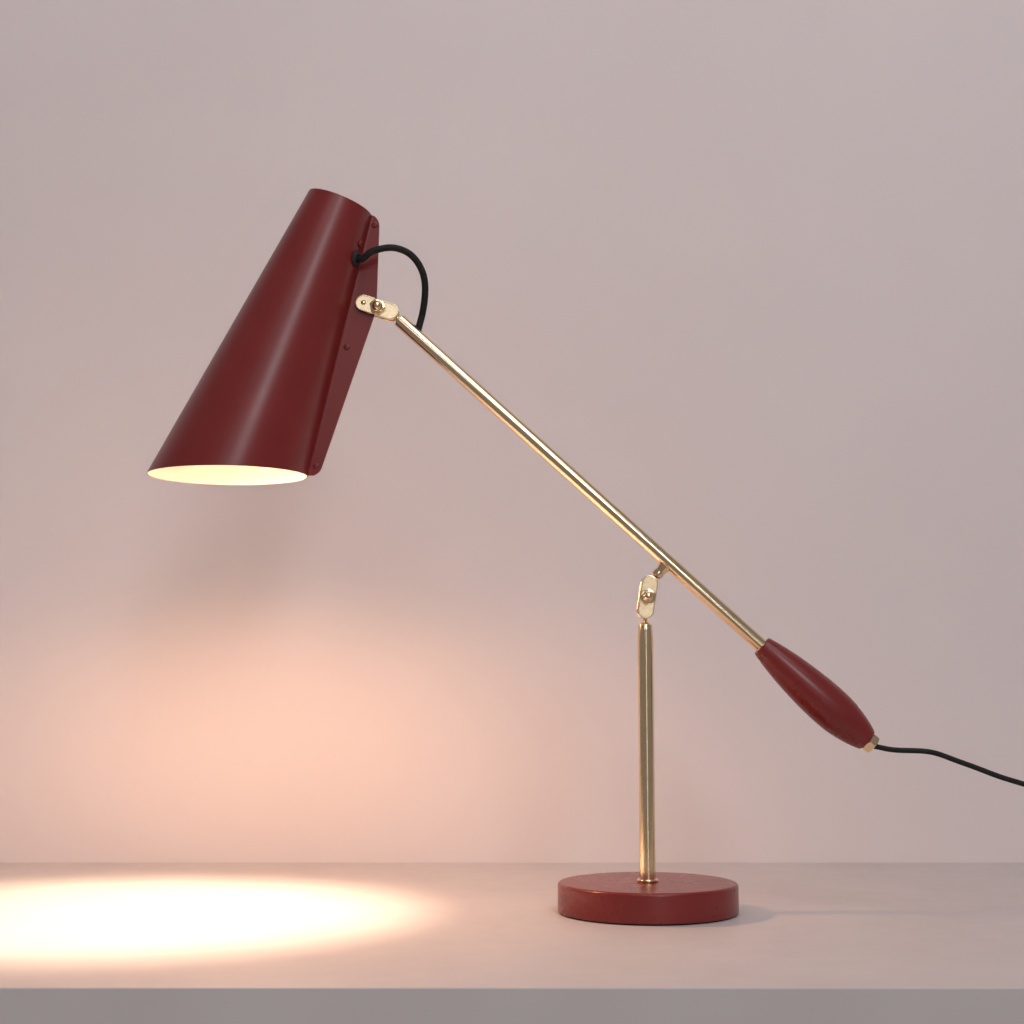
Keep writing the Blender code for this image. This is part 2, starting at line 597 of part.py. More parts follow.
def make_fin_fasteners():
    face = FIN_SLIT / 2 + SHEET + GAP
    for name, (along, out) in zip(("fin_rivet_top", "fin_rivet_middle", "fin_rivet_bottom"), RIVET_PLACES):
        dome = [(0.0029, face), (0.0029, face + 0.0003), (0.0021, face + 0.0010), (0, face + 0.0013)]
        profile = [(r, -h) for r, h in reversed(dome)] + [(0.0015, -face), (0.0015, face)] + dome
        add(name, turned(profile, 16), "red_paint", "head", across(SEAM, out, along))
    pin_at = across(HEAD_LINK, z=HEAD_PIN_AT)
    end = PLATE_GAP / 2 + PLATE_THICKNESS + 0.0003
    pin = turned([(0, -end - 0.0004), (0.0014, -end), (NECK_RADIUS, -end + 0.0006),
                  (NECK_RADIUS, end - 0.0006), (0.0014, end), (0, end + 0.0004)], 20)
    add("fin_pin", pin, "brass", "head", pin_at)
    for name, sign in (("fin_washer_front", 1), ("fin_washer_rear", -1)):
        low, high = sign * face, sign * (PLATE_GAP / 2 - GAP)
        hole = NECK_RADIUS + GAP
        ring = turned([(hole, low), (hole, high), (0.0056, high), (0.0056, low)], 24)
        add(name, ring, "nylon", "head", pin_at)


def make_lampholder(grommet, screw):
    bore = HEAD_CORD_DIAMETER / 2 + GAP
    ring = turned([(bore, -0.0040), (bore, 0.0024), (0.0040, 0.0030), (0.0062, 0.0024), (0.0075, 0.0010),
                   (0.0075, 0.0003), (0.0043, 0.0003), (0.0043, -0.0022), (0.0058, -0.0022),
                   (0.0058, -0.0040)], 24)
    add("shade_grommet", ring, "rubber", "head", grommet)

    # A strap from the wall to the nipple on the shade's axis, passing the cord on its far side.
    wall = [(SHADE_TOP_RADIUS + v * math.tan(SHADE_HALF_ANGLE) - SHEET - 0.0019, v) for v in (0.0380, 0.0245)]
    line = wall + [(-0.0150, 0.0245), (-0.0150, 0.0600), (0.0090, 0.0600)]
    thick, half = 0.0015, 0.0074
    faces = ([], [])
    for i, (u, v) in enumerate(line):
        before = Vector((u - line[max(i - 1, 0)][0], v - line[max(i - 1, 0)][1]))
        after = Vector((line[min(i + 1, 4)][0] - u, line[min(i + 1, 4)][1] - v))
        before = (before if i else after).normalized()
        after = (after if i < 4 else before).normalized()
        mitre = (before + after).normalized()
        side = Vector((-mitre.y, mitre.x)) * thick / 2 / mitre.dot(after)
        faces[0].append((u + side.x, v + side.y))
        faces[1].append((u - side.x, v - side.y))
    outline = faces[0] + faces[1][::-1]
    strap = skin([[(u, y, v) for u, v in outline] for y in (-half, half)])
    turned_to = SHADE @ Matrix.Rotation(GROMMET_ANGLE, 4, "Z")
    made = add("holder_bracket", strap, "steel", "head", turned_to)
    cut(made, "bracket_nipple_hole", rod(0.0053, 0.055, 0.065), "head", SHADE)
    cut(made, "bracket_foot_hole", rod(0.0018, -0.010, 0.006, 16), "head", screw)

    head = [(0.0030, 0.0006), (0.0030, 0.0010), (0.0022, 0.0020), (0, 0.0023)]
    body = turned([(0, -0.0075), (0.0015, -0.0075), (0.0015, 0.0006)] + head, 20)
    add("bracket_screw", body, "red_paint", "head", screw)

    nipple = turned([(0.0031, 0.0553), (0.0031, 0.0690), (0.0050, 0.0690), (0.0050, 0.0553)], 24)
    add("holder_nipple", nipple, "steel", "head", SHADE)
    nut = turned([(0.0053, 0.0560), (0.0053, 0.05895), (0.0076, 0.05895), (0.0076, 0.0560)], 24, 0.0135)
    add("holder_nipple_nut", nut, "steel", "head", SHADE)
    cap = turned([(0.0053, 0.0611), (0.0120, 0.0611), (0.0162, 0.0640), (0.0180, 0.0690), (0.0180, 0.0745),
                  (0.0165, 0.0745), (0.0165, 0.0696), (0.0150, 0.0655), (0.0120, 0.0636), (0.0053, 0.0636)], 32)
    add("lampholder_cap", cap, "bakelite", "head", SHADE)
    body = turned([(0, 0.0752), (0.0158, 0.0752), (0.0158, 0.0748), (0.0194, 0.0748), (0.0194, 0.1035),
                   (0.0188, 0.1045), (0.0142, 0.1045), (0.0142, 0.0790), (0, 0.0790)], 32)
    add("lampholder_body", body, "bakelite", "head", SHADE)
    thread = [(0.0131 - 0.0005 * (k % 2), 0.0850 + 0.0018 * k) for k in range(10)]
    cap = turned([(0, 0.0809), (0.0040, 0.0812), (0.0080, 0.0832)] + thread + [(0.0131, 0.1040), (0, 0.1040)], 20)
    add("bulb_cap", cap, "nickel", "head", SHADE)
    centre, glass = 0.1520, 0.0295
    neck = [(0.0128, 0.1043), (0.0136, 0.1080), (0.0150, 0.1160), (0.0195, 0.1275)]
    outer = neck + arc((0, centre), glass, -42, 90, 10)[1:-1]
    inner = [(r * 0.93, h if h < centre else centre + (h - centre) * 0.95) for r, h in outer]
    bulb = turned([(0, centre + glass)] + outer[::-1] + inner + [(0, centre + glass * 0.95)], 24)
    add("bulb_glass", bulb, "opal_glass", "head", SHADE)

    # The stripped lead dips from the grommet and arches over into the nipple, all in one plane.
    bend = 0.0140
    arch = 0.0137
    start = SHADE_TOP_RADIUS + GROMMET_AT * math.tan(SHADE_HALF_ANGLE) - 0.0044
    line = arc((start, GROMMET_AT + 0.0006 - bend), bend, 90, 135, 4)
    line += arc((arch, 0.0530), arch, -45, -180, 9)[1:] + [(0, 0.0690)]
    cord("holder_lead", [turned_to @ Vector((u, 0, v)) for u, v in line], 0.0034, "head")


# ---------------------------------------------------------------- free cords

def head_cord_path():
    """Out of the shade's grommet, up and over in a loop, and into the top of the arm."""
    def in_hole(height, front=0.0):
        return CORD_HOLE @ Vector((0, front, height))

    grommet = grommet_frame()
    out = grommet.to_3x3() @ Vector((0, 0, 1))
    hole = grommet.translation
    route = [hole + 0.0034 * out, hole + 0.0060 * out,
             (-0.2530, -0.0180, 0.5944), (-0.2430, -0.0192, 0.5986), (-0.2331, -0.0188, 0.6003),
             (-0.2233, -0.0170, 0.5992), (-0.2143, -0.0145, 0.5950), (-0.2075, -0.0118, 0.5878),
             (-0.2030, -0.0090, 0.5789), (-0.2011, -0.0065, 0.5684), (-0.2014, -0.0040, 0.5570),
             (-0.2027, -0.0018, 0.5476), in_hole(0.0205, 0.0003), in_hole(0.0140), in_hole(0.0090)]
    return [hole - 0.0039 * out] + smooth_route(route, 0.0060) + [in_hole(0.0046)]


def mains_path():
    """From the gland to the switch: out along the arm, then down in a loose curve onto the table."""
    door = SWITCH_CENTRE + Vector((0, -SWITCH_LENGTH / 2, CORD_IN_SWITCH))
    route = [arm_point(0.5906, -0.0002), (0.2087, -0.0001, 0.1454), (0.2138, -0.0002, 0.1443),
             (0.2204, -0.0003, 0.1432), (0.2312, -0.0005, 0.1425), (0.2430, -0.0008, 0.1422),
             (0.2563, -0.0012, 0.1408), (0.2750, -0.0018, 0.1345), (0.2950, -0.0024, 0.1272),
             (0.3160, -0.0032, 0.1192), (0.3380, -0.0045, 0.1124), (0.3580, -0.0068, 0.1046),
             (0.3760, -0.0106, 0.0935), (0.3920, -0.0165, 0.0775), (0.4060, -0.0242, 0.0575),
             (0.4190, -0.0325, 0.0365), (0.4340, -0.0408, 0.0182), (0.4520, -0.0475, 0.0068),
             (0.4730, -0.0508, 0.0029), (0.4950, -0.0480, 0.0026), (0.5120, -0.0370, 0.0042),
             door - Vector((0, 0.0080, 0.0006)), door]
    return smooth_route(route, 0.0105) + [door + Vector((0, 0.0070, 0))]


def coil_lead_path():
    """From the switch round to the coil's outer turn."""
    door = SWITCH_CENTRE + Vector((0, SWITCH_LENGTH / 2, CORD_IN_SWITCH))
    route = [door, door + Vector((0, 0.0080, -0.0006)), (0.5140, 0.0640, 0.0045),
             (0.5030, 0.0735, 0.0027), (0.4880, 0.0780, 0.0026), (0.4747, 0.0782, 0.0026)]
    return [door - Vector((0, 0.0070, 0))] + smooth_route(route, 0.0080)


def plug_lead_path():
    """From the coil's top turn, up and round into the back of the plug that lies across the coil."""
    door = PLUG_FRONT + Vector((PLUG_LENGTH, 0, 0))
    route = [(0.4800, 0.0132, 0.0181), (0.4900, 0.0150, 0.0192), (0.4985, 0.0225, 0.0206),
             (0.5015, 0.0345, 0.0218), (0.4985, 0.0465, 0.0226), (0.4900, 0.0540, PLUG_FRONT.z),
             (0.4820, 0.0563, PLUG_FRONT.z), door]
    return smooth_route(route, 0.0080) + [door - Vector((0.0150, 0, 0))]


def make_cords():
    cord("head_cord", head_cord_path(), HEAD_CORD_DIAMETER, "arm")
    cord("mains_cord", mains_path(), MAINS_DIAMETER, None)
    cord("mains_cord_to_coil", coil_lead_path(), MAINS_DIAMETER, None)
    cord("mains_cord_to_plug", plug_lead_path(), MAINS_DIAMETER, None)
    soft = 0.0024
    ring = turned([(COIL_INNER, soft), (COIL_INNER, COIL_HEIGHT - soft), (COIL_INNER + soft, COIL_HEIGHT),
                   (COIL_OUTER - soft, COIL_HEIGHT), (COIL_OUTER, COIL_HEIGHT - soft), (COIL_OUTER, soft),
                   (COIL_OUTER - soft, 0.0001), (COIL_INNER + soft, 0.0001)], 36)
    add("mains_cord_coil", ring, "cord", None, Matrix.Translation(COIL_CENTRE))


def make_switch():
    """In-line rocker switch: its long axis is local Z, its upper side local X."""
    bottom = Matrix.Translation(SWITCH_CENTRE)
    split = 0.0084
    long = Matrix.Rotation(math.radians(-90), 4, "X")
    half_w, half_l = SWITCH_WIDTH / 2, SWITCH_LENGTH / 2
    base = pillow([(0.0002, half_w - 0.0018, half_l - 0.0018, 0.0050), (0.0014, half_w, half_l, 0.0062),
                   (split, half_w, half_l, 0.0062)])
    lower = add("switch_base", base, "bakelite", None, bottom)
    top = SWITCH_HEIGHT
    cover = pillow([(split + GAP, half_w, half_l, 0.0062), (top - 0.0035, half_w - 0.0004, half_l - 0.0008, 0.0060),
                    (top - 0.0010, half_w - 0.0022, half_l - 0.0030, 0.0050),
                    (top, half_w - 0.0045, half_l - 0.0055, 0.0035)])
    upper = add("switch_cover", cover, "bakelite", None, bottom)
    window = block((-0.0063, -0.0108, split + 0.0013), (0.0063, 0.0108, top + 0.003))
    cut(upper, "rocker_window", window, None, bottom)
    for name, target in (("switch_base", lower), ("switch_cover", upper)):
        duct = rod(MAINS_DIAMETER / 2 + GAP, half_l - 0.010, half_l + 0.004, 16)
        cut(target, name + "_duct_a", duct, None, bottom @ Matrix.Translation((0, 0, CORD_IN_SWITCH)) @ long)
        duct = rod(MAINS_DIAMETER / 2 + GAP, -half_l - 0.004, -half_l + 0.010, 16)
        cut(target, name + "_duct_b", duct, None, bottom @ Matrix.Translation((0, 0, CORD_IN_SWITCH)) @ long)
    width = 0.0060
    outline = [(-0.0100, 0.0012), (-0.0060, 0.0036), (0, 0.0030), (0.0060, 0.0036), (0.0100, 0.0012),
               (0.0098, -0.0006), (0.0040, -0.0016), (-0.0040, -0.0016), (-0.0098, -0.0006)]
    rocker = skin([[(x, y, z) for y, z in outline] for x in (-width, width)])
    frame = PIVOTS["switch_rocker"][1] @ Matrix.Rotation(SWITCH_TILT, 4, "X")
    add("switch_rocker", rocker, "bakelite", "switch_rocker", frame)


def make_plug():
    """Flat two-pin plug lying across the coil, its pins towards -X."""
    frame = Matrix.Translation(PLUG_FRONT) @ Matrix.Rotation(math.radians(90), 4, "Y")
    body = pillow([(0, 0.0066, 0.0115, 0.0040), (0.0008, 0.0070, 0.0127, 0.0044), (0.0060, 0.0070, 0.0130, 0.0044),
                   (0.0180, 0.0068, 0.0128, 0.0044), (0.0300, 0.0060, 0.0085, 0.0040),
                   (0.0370, 0.0046, 0.0052, 0.0034)])
    made = add("plug_body", body, "bakelite", None, frame)
    for name, side in (("plug_pin_left", -0.0093), ("plug_pin_right", 0.0093)):
        at = frame @ Matrix.Translation((0, side, 0))
        cut(made, name + "_hole", rod(0.0023, -0.002, 0.0063, 16), None, at)
        tip = [(0.0020, -0.0178), (0.0012, -0.0188), (0, -0.0190)]
        pin = turned([(0, 0.0060), (0.0020, 0.0060)] + tip, 16)
        add(name, pin, "nickel", None, at)
    sleeve = turned([(0.0027, 0.0373), (0.0027, PLUG_LENGTH), (0.0033, PLUG_LENGTH), (0.0037, 0.0550),
                     (0.0042, 0.0450), (0.0046, 0.0373)], 20)
    add("plug_strain_relief", sleeve, "rubber", None, frame)


# ---------------------------------------------------------------- assembly

def main():
    clear_scene()
    finish_material("red_paint", (0.118, 0.022, 0.020), 0.0, 0.35)
    finish_material("brass", (0.86, 0.66, 0.36), 1.0, 0.22)
    finish_material("bronze", (0.55, 0.36, 0.18), 1.0, 0.45)
    finish_material("steel", (0.55, 0.56, 0.58), 1.0, 0.35)
    finish_material("nickel", (0.72, 0.71, 0.68), 1.0, 0.25)
    finish_material("rubber", (0.02, 0.02, 0.02), 0.0, 0.75)
    finish_material("cord", (0.018, 0.018, 0.020), 0.0, 0.80)
    finish_material("bakelite", (0.02, 0.02, 0.021), 0.0, 0.40)
    finish_material("nylon", (0.80, 0.78, 0.72), 0.0, 0.50)
    finish_material("opal_glass", (0.95, 0.90, 0.80), 0.0, 0.30)

    pivot("column_swivel", frame_at(LOWER_BALL, (0, 0, -1)))
    pivot("link", LINK)
    pivot("arm_stud", ARM_STUD)
    pivot("arm", ARM_STUD)
    pivot("head_stud", ARM)
    pivot("head", HEAD_LINK)
    pivot("switch_rocker", Matrix.Translation(SWITCH_CENTRE + Vector((0, 0, 0.0148))))

    make_base()
    make_column()
    make_column_stud()
    make_knuckle("link", LINK, "link", LINK_PITCH, (0, LINK_PITCH))
    make_arm_stud()
    make_arm_tube()
    make_counterweight()
    make_gland()
    make_inner_cord()
    make_end_stud()
    make_knuckle("head", HEAD_LINK, "head", HEAD_PIN_AT, (0,))
    shade = make_shade()
    grommet, screw = make_shade_holes(shade)
    make_fin_fasteners()
    make_lampholder(grommet, screw)
    make_cords()
    make_switch()
    make_plug()


main()
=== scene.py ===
"""Looks of the architect desk lamp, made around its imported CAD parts. Metres, +Z up.

Every local frame has its Z along the real part's axis and its Y towards the lamp's front, -Y.
"""
import json
import math

import bmesh
import bpy
import numpy as np
from mathutils import Matrix, Vector


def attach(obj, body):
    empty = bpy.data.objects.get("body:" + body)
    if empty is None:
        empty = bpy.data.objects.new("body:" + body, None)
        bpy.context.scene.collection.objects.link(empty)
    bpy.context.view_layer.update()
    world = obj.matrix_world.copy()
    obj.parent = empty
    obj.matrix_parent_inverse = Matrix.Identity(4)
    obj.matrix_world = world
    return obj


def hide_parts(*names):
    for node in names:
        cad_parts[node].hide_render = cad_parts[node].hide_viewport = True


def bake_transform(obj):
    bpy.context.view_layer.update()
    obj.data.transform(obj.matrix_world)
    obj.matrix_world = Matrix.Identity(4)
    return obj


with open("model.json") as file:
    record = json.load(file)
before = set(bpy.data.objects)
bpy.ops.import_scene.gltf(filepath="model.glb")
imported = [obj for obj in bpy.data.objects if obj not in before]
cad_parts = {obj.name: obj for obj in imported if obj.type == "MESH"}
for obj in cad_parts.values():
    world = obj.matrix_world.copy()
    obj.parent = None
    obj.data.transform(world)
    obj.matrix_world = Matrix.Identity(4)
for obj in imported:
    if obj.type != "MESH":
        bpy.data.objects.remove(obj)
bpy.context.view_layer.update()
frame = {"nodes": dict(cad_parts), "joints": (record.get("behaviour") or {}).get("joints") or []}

# ---------------------------------------------------------------- sizes, as in the CAD source

GAP = 0.0003
BASE_RADIUS, BASE_TOP, BASE_EDGE = 0.080, 0.0268, 0.0028
PAD_RADIUS, PAD_THICKNESS = 0.077, 0.0010
COLUMN_RADIUS, COLUMN_TIP_RADIUS, COLUMN_WALL = 0.0071, 0.0063, 0.0015
COLUMN_TAPER_START, COLUMN_TOP = 0.240, 0.2553
LINK_PITCH, LINK_RADIUS = 0.0246, 0.0076
PLATE_GAP, PLATE_THICKNESS = 0.0046, 0.0040
BALL_RADIUS, NECK_RADIUS = 0.0046, 0.0020
BOLT_RADIUS, NUT_FLATS = 0.0030, 0.0132
HEAD_PIN_AT = 0.0262
ARM_RADIUS, ARM_BORE = 0.00635, 0.00535
ARM_START, ARM_END = 0.0106, 0.5860
ARM_STUD_AT, ARM_STUD_REACH = 0.3445, 0.0266
STUD_SEAT, STUD_FLATS = 0.0146, 0.0096
COUNTERWEIGHT_START, COUNTERWEIGHT_LENGTH = 0.4571, 0.1261
GLAND_START, GLAND_LENGTH = 0.5835, 0.0075
CORD_HOLE_AT, CORD_HOLE_SLANT = 0.0325, math.radians(28)
CORD_SLEEVE = 0.0042
SHADE_LEAN = math.radians(20.6)
SHADE_TOP = Vector((-0.2811, 0, 0.6476))
SHADE_TOP_RADIUS, SHADE_HALF_ANGLE = 0.03127, math.radians(7.647)
SHADE_RIM_HEIGHT = 0.3915
SHEET, FIN_SLIT, BEND_RADIUS = 0.0010, 0.0003, 0.0020
FIN_CORNER, CORNER_REACH = 0.0080, 0.0074
RIVET_PLACES = ((0.0085, 0.0052), (0.127, 0.0072), (0.2415, 0.0060))
GROMMET_AT, GROMMET_ANGLE = 0.0468, math.radians(21)
BRACKET_SCREW_AT = 0.0323
MAINS_DIAMETER, HEAD_CORD_DIAMETER = 0.0048, 0.0063
COIL_CENTRE = Vector((0.455, 0.045, 0))
COIL_COLUMNS, COIL_LAYERS = (0.0325, 0.0276, 0.0227), (0.0026, 0.0076, 0.0126)
SWITCH_CENTRE = Vector((0.520, 0.012, 0))
SWITCH_LENGTH, SWITCH_WIDTH, SWITCH_HEIGHT, SWITCH_SPLIT = 0.062, 0.026, 0.0172, 0.0084
CORD_IN_SWITCH = 0.0078
SWITCH_TILT = math.radians(8)
PLUG_FRONT = Vector((0.413, 0.0565, 0.0227))
PLUG_LENGTH = 0.0610

JOINT = {joint["name"]: joint for joint in frame["joints"]}
LOWER_BALL = Vector(JOINT["link_tilt"]["pos_m"])
UPPER_BALL = Vector(JOINT["arm_tilt"]["pos_m"])
HEAD_BALL = Vector(JOINT["head_tilt"]["pos_m"])
ALONG_ARM = Vector(JOINT["head_roll"]["axis"]).normalized()
OFF_ARM = Vector(JOINT["arm_turn"]["axis"]).normalized()
DOWN_SHADE = Vector((-math.sin(SHADE_LEAN), 0, -math.cos(SHADE_LEAN)))
TO_SEAM = Vector((math.cos(SHADE_LEAN), 0, -math.sin(SHADE_LEAN)))
HEAD_LINK_SLOPE = math.radians(18)


def frame_at(origin, along):
    """Axes with local Z along the given direction and local Y towards -Y."""
    z = Vector(along).normalized()
    y = Vector((0, -1, 0))
    placed = Matrix((y.cross(z), y, z)).transposed().to_4x4()
    placed.translation = origin
    return placed


def across(base, x=0.0, z=0.0):
    """A frame on this one's local Y axis: its local Z points to the lamp's front."""
    return base @ Matrix.Translation((x, 0, z)) @ Matrix.Rotation(math.radians(-90), 4, "X")


WORLD = Matrix.Identity(4)
LINK = frame_at(LOWER_BALL, UPPER_BALL - LOWER_BALL)
ARM_STUD = frame_at(UPPER_BALL, OFF_ARM)
ARM = frame_at(HEAD_BALL, ALONG_ARM)
CORD_HOLE = frame_at(HEAD_BALL + CORD_HOLE_AT * ALONG_ARM,
                     math.cos(CORD_HOLE_SLANT) * OFF_ARM - math.sin(CORD_HOLE_SLANT) * ALONG_ARM)
SHADE = frame_at(SHADE_TOP, DOWN_SHADE)
HEAD_LINK = frame_at(HEAD_BALL, (-math.cos(HEAD_LINK_SLOPE), 0, math.sin(HEAD_LINK_SLOPE)))
SEAM_START = SHADE_TOP + SHADE_TOP_RADIUS * TO_SEAM
DOWN_SEAM = math.cos(SHADE_HALF_ANGLE) * DOWN_SHADE + math.sin(SHADE_HALF_ANGLE) * TO_SEAM
SEAM = frame_at(SEAM_START, DOWN_SEAM)
SEAM_LENGTH = (SEAM_START.z - SHADE_RIM_HEIGHT) / -DOWN_SEAM.z


# ---------------------------------------------------------------- materials

class Finish:
    """A Principled material whose detail comes from noise in the piece's own coordinates."""

    def __init__(self, name, **sockets):
        self.material = bpy.data.materials.new(name)
        self.material.use_nodes = True
        self.tree = self.material.node_tree
        self.shader = self.tree.nodes["Principled BSDF"]
        for socket, value in sockets.items():
            self.shader.inputs[socket.replace("_", " ")].default_value = value
        self.place = self.node("ShaderNodeTexCoord").outputs["Object"]

    def node(self, kind, **values):
        made = self.tree.nodes.new(kind)
        for key, value in values.items():
            setattr(made, key, value)
        return made

    def link(self, source, socket):
        self.tree.links.new(source, socket)

    def noise(self, scale, detail=2.0, roughness=0.5, stretch=(1, 1, 1)):
        """Noise with this many waves a metre, drawn out along an axis where stretch is small."""
        mapping = self.node("ShaderNodeMapping")
        mapping.inputs["Scale"].default_value = stretch
        self.link(self.place, mapping.inputs["Vector"])
        made = self.node("ShaderNodeTexNoise")
        made.inputs["Scale"].default_value = scale
        made.inputs["Detail"].default_value = detail
        made.inputs["Roughness"].default_value = roughness
        self.link(mapping.outputs["Vector"], made.inputs["Vector"])
        return made.outputs["Fac"]

    def range(self, source, low, high, start=0.3, end=0.7):
        made = self.node("ShaderNodeMapRange")
        for socket, value in (("From Min", start), ("From Max", end), ("To Min", low), ("To Max", high)):
            made.inputs[socket].default_value = value
        self.link(source, made.inputs["Value"])
        return made.outputs["Result"]

    def math(self, kind, a, b):
        made = self.node("ShaderNodeMath", operation=kind)
        for socket, value in zip(made.inputs, (a, b)):
            if isinstance(value, (int, float)):
                socket.default_value = value
            else:
                self.link(value, socket)
        return made.outputs[0]

    def mix(self, share, a, b):
        made = self.node("ShaderNodeMix", data_type="RGBA")
        self.link(share, made.inputs[0])
        for socket, value in ((made.inputs[6], a), (made.inputs[7], b)):
            if isinstance(value, tuple):
                socket.default_value = (*value, 1)
            else:
                self.link(value, socket)
        return made.outputs[2]

    def colour(self, source):
        self.link(source, self.shader.inputs["Base Color"])
        return self

    def roughness(self, source):
        self.link(source, self.shader.inputs["Roughness"])
        return self

    def bump(self, *layers):
        """Layers of (height, depth in metres), laid over each other."""
        normal = None
        for height, depth in layers:
            made = self.node("ShaderNodeBump")
            made.inputs["Distance"].default_value = depth
            made.inputs["Strength"].default_value = 1.0
            self.link(height, made.inputs["Height"])
            if normal:
                self.link(normal, made.inputs["Normal"])
            normal = made.outputs["Normal"]
        self.link(normal, self.shader.inputs["Normal"])
        return self


def red_paint(name, deep, light, rough):
    """Satin stove enamel: a slight orange peel, a fine pigment grain, uneven gloss."""
    made = Finish(name, Specular_IOR_Level=0.42)
    cloud = made.range(made.noise(22, 3), 0, 1)
    body = made.mix(cloud, deep, light)
    grain = made.range(made.noise(2600, 2), 0, 1, 0.35, 0.65)
    made.colour(made.mix(made.math("MULTIPLY", grain, 0.10), body, tuple(1.7 * c for c in light)))
    made.roughness(made.range(made.noise(35, 4, 0.6), rough - 0.02, rough + 0.02))
    made.bump((made.noise(520, 2), 0.0000025), (made.noise(2400, 2), 0.0000008))
    return made.material


def brass(name, stretch=(1, 1, 1), rough=0.14, warm=0.0):
    """Polished brass: fine draw lines along the part, a faint haze and warmer handled patches."""
    made = Finish(name, Metallic=1.0)
    handled = made.range(made.noise(30, 4, 0.6), 0, 1, 0.38, 0.68)
    pale, deep = (0.90 + warm * 0.02, 0.74 - warm * 0.04, 0.50 - warm * 0.08), (0.86, 0.67, 0.41)
    body = made.mix(handled, pale, deep)
    lines = made.noise(1500, 3, 0.6, stretch)
    made.colour(made.mix(made.range(lines, 0, 0.10), body, (0.62, 0.45, 0.25)))
    haze = made.range(made.noise(45, 5, 0.65), rough - 0.03, rough + 0.04)
    made.roughness(made.math("ADD", haze, made.range(lines, 0, 0.04)))
    made.bump((lines, 0.0000005))
    return made.material


def sheath(name):
    """Matt black cord sheath: a fine grain, dust and dull rubbed places."""
    made = Finish(name, Specular_IOR_Level=0.30)
    dusty = made.range(made.noise(160, 5, 0.65), 0, 1, 0.40, 0.72)
    body = made.mix(dusty, (0.0065, 0.0068, 0.0062), (0.013, 0.0135, 0.0125))
    made.colour(made.mix(made.range(made.noise(2200, 2), 0, 0.4), body, (0.009, 0.0095, 0.009)))
    made.roughness(made.range(made.noise(240, 3), 0.50, 0.68))
    made.bump((made.noise(2600, 3, 0.6), 0.00002), (made.noise(420, 2), 0.00003))
    return made.material


def moulded(name, dark, light, rough, grain=1500):
    """Fine-grained moulding."""
    made = Finish(name, Specular_IOR_Level=0.5)
    made.colour(made.mix(made.range(made.noise(90, 4, 0.6), 0, 1), dark, light))
    made.roughness(made.range(made.noise(60, 4), rough - 0.06, rough + 0.08))
    made.bump((made.noise(grain, 2), 0.000012), (made.noise(70, 2), 0.00002))
    return made.material


def plated(name, colour, rough):
    """Plated steel with faint turning marks."""
    made = Finish(name, Metallic=1.0)
    cloud = made.range(made.noise(120, 4, 0.6), 0, 1)
    made.colour(made.mix(cloud, colour, tuple(0.75 * c for c in colour)))
    lines = made.noise(1800, 3, 0.6, (1, 1, 0.1))
    made.roughness(made.math("ADD", made.range(lines, 0, 0.12), rough))
    made.bump((lines, 0.000003))
    return made.material


def lining():
    """The shade's white inside, with a faint warm haze here and there."""
    made = Finish("shade_lining", Specular_IOR_Level=0.4)
    made.colour(made.mix(made.range(made.noise(30, 4, 0.6), 0, 1), (0.80, 0.775, 0.72), (0.86, 0.84, 0.79)))
    made.roughness(made.range(made.noise(80, 3), 0.42, 0.55))
    made.bump((made.noise(600, 2), 0.000010))
    return made.material


def lit_glass():
    """Opal bulb glass, glowing a little unevenly."""
    made = Finish("bulb_opal", Roughness=0.25, Specular_IOR_Level=0.5)
    cloud = made.range(made.noise(40, 3), 0, 1)
    made.colour(made.mix(cloud, (0.95, 0.90, 0.80), (0.92, 0.86, 0.74)))
    made.link(made.mix(cloud, (1.0, 0.70, 0.42), (1.0, 0.66, 0.37)), made.shader.inputs["Emission Color"])
    made.shader.inputs["Emission Strength"].default_value = BULB_GLOW
    made.bump((made.noise(300, 2), 0.00002))
    return made.material


BULB_GLOW = 15.0
RED = red_paint("shade_enamel", (0.185, 0.0190, 0.0180), (0.205, 0.0220, 0.0205), 0.31)
RED_TURNED = red_paint("weight_enamel", (0.180, 0.0185, 0.0170), (0.198, 0.0215, 0.0195), 0.28)
TUBE_BRASS = brass("brass_drawn_tube", (1, 1, 0.02), 0.13)
COLUMN_BRASS = brass("brass_column_tube", (1, 1, 0.02), 0.15, 0.5)
PLATE_BRASS = brass("brass_ground_plate", (0.35, 1, 1), 0.20)
TURNED_BRASS = brass("brass_turned", (1, 1, 6), 0.12, 0.6)
LINING = lining()
CORD = sheath("cord_sheath")
RUBBER = moulded("soft_rubber", (0.008, 0.008, 0.008), (0.016, 0.016, 0.0155), 0.60, 900)
BAKELITE = moulded("black_moulding", (0.012, 0.012, 0.012), (0.024, 0.024, 0.023), 0.34)
HOLDER_WHITE = moulded("lampholder_moulding", (0.74, 0.71, 0.65), (0.82, 0.80, 0.75), 0.40)
NICKEL = plated("nickel_plate", (0.72, 0.70, 0.66), 0.20)
ZINC = plated("zinc_plate", (0.60, 0.61, 0.62), 0.32)
NYLON = moulded("natural_nylon", (0.66, 0.63, 0.56), (0.76, 0.73, 0.67), 0.45)
BRONZE = plated("bearing_bronze", (0.55, 0.36, 0.18), 0.38)
OPAL = lit_glass()


# ---------------------------------------------------------------- shapes

def skin(rows, joined=False, closed=True):
    """Faces between neighbouring rings of points. A ring of one point is a pole."""
    shape = bmesh.new()
    rings = [[shape.verts.new(point) for point in row] for row in rows]
    pairs = list(zip(rings, rings[1:]))
    if joined:
        pairs.append((rings[-1], rings[0]))
    for low, high in pairs:
        count = max(len(low), len(high))
        for i in range(count):
            j = (i + 1) % count
            corners = [low[i % len(low)], low[j % len(low)], high[j % len(high)], high[i % len(high)]]
            shape.faces.new(list(dict.fromkeys(corners)))
    if closed and not joined:
        for end in (rings[0], rings[-1]):
            if len(end) > 2:
                shape.faces.new(end)
    return shape


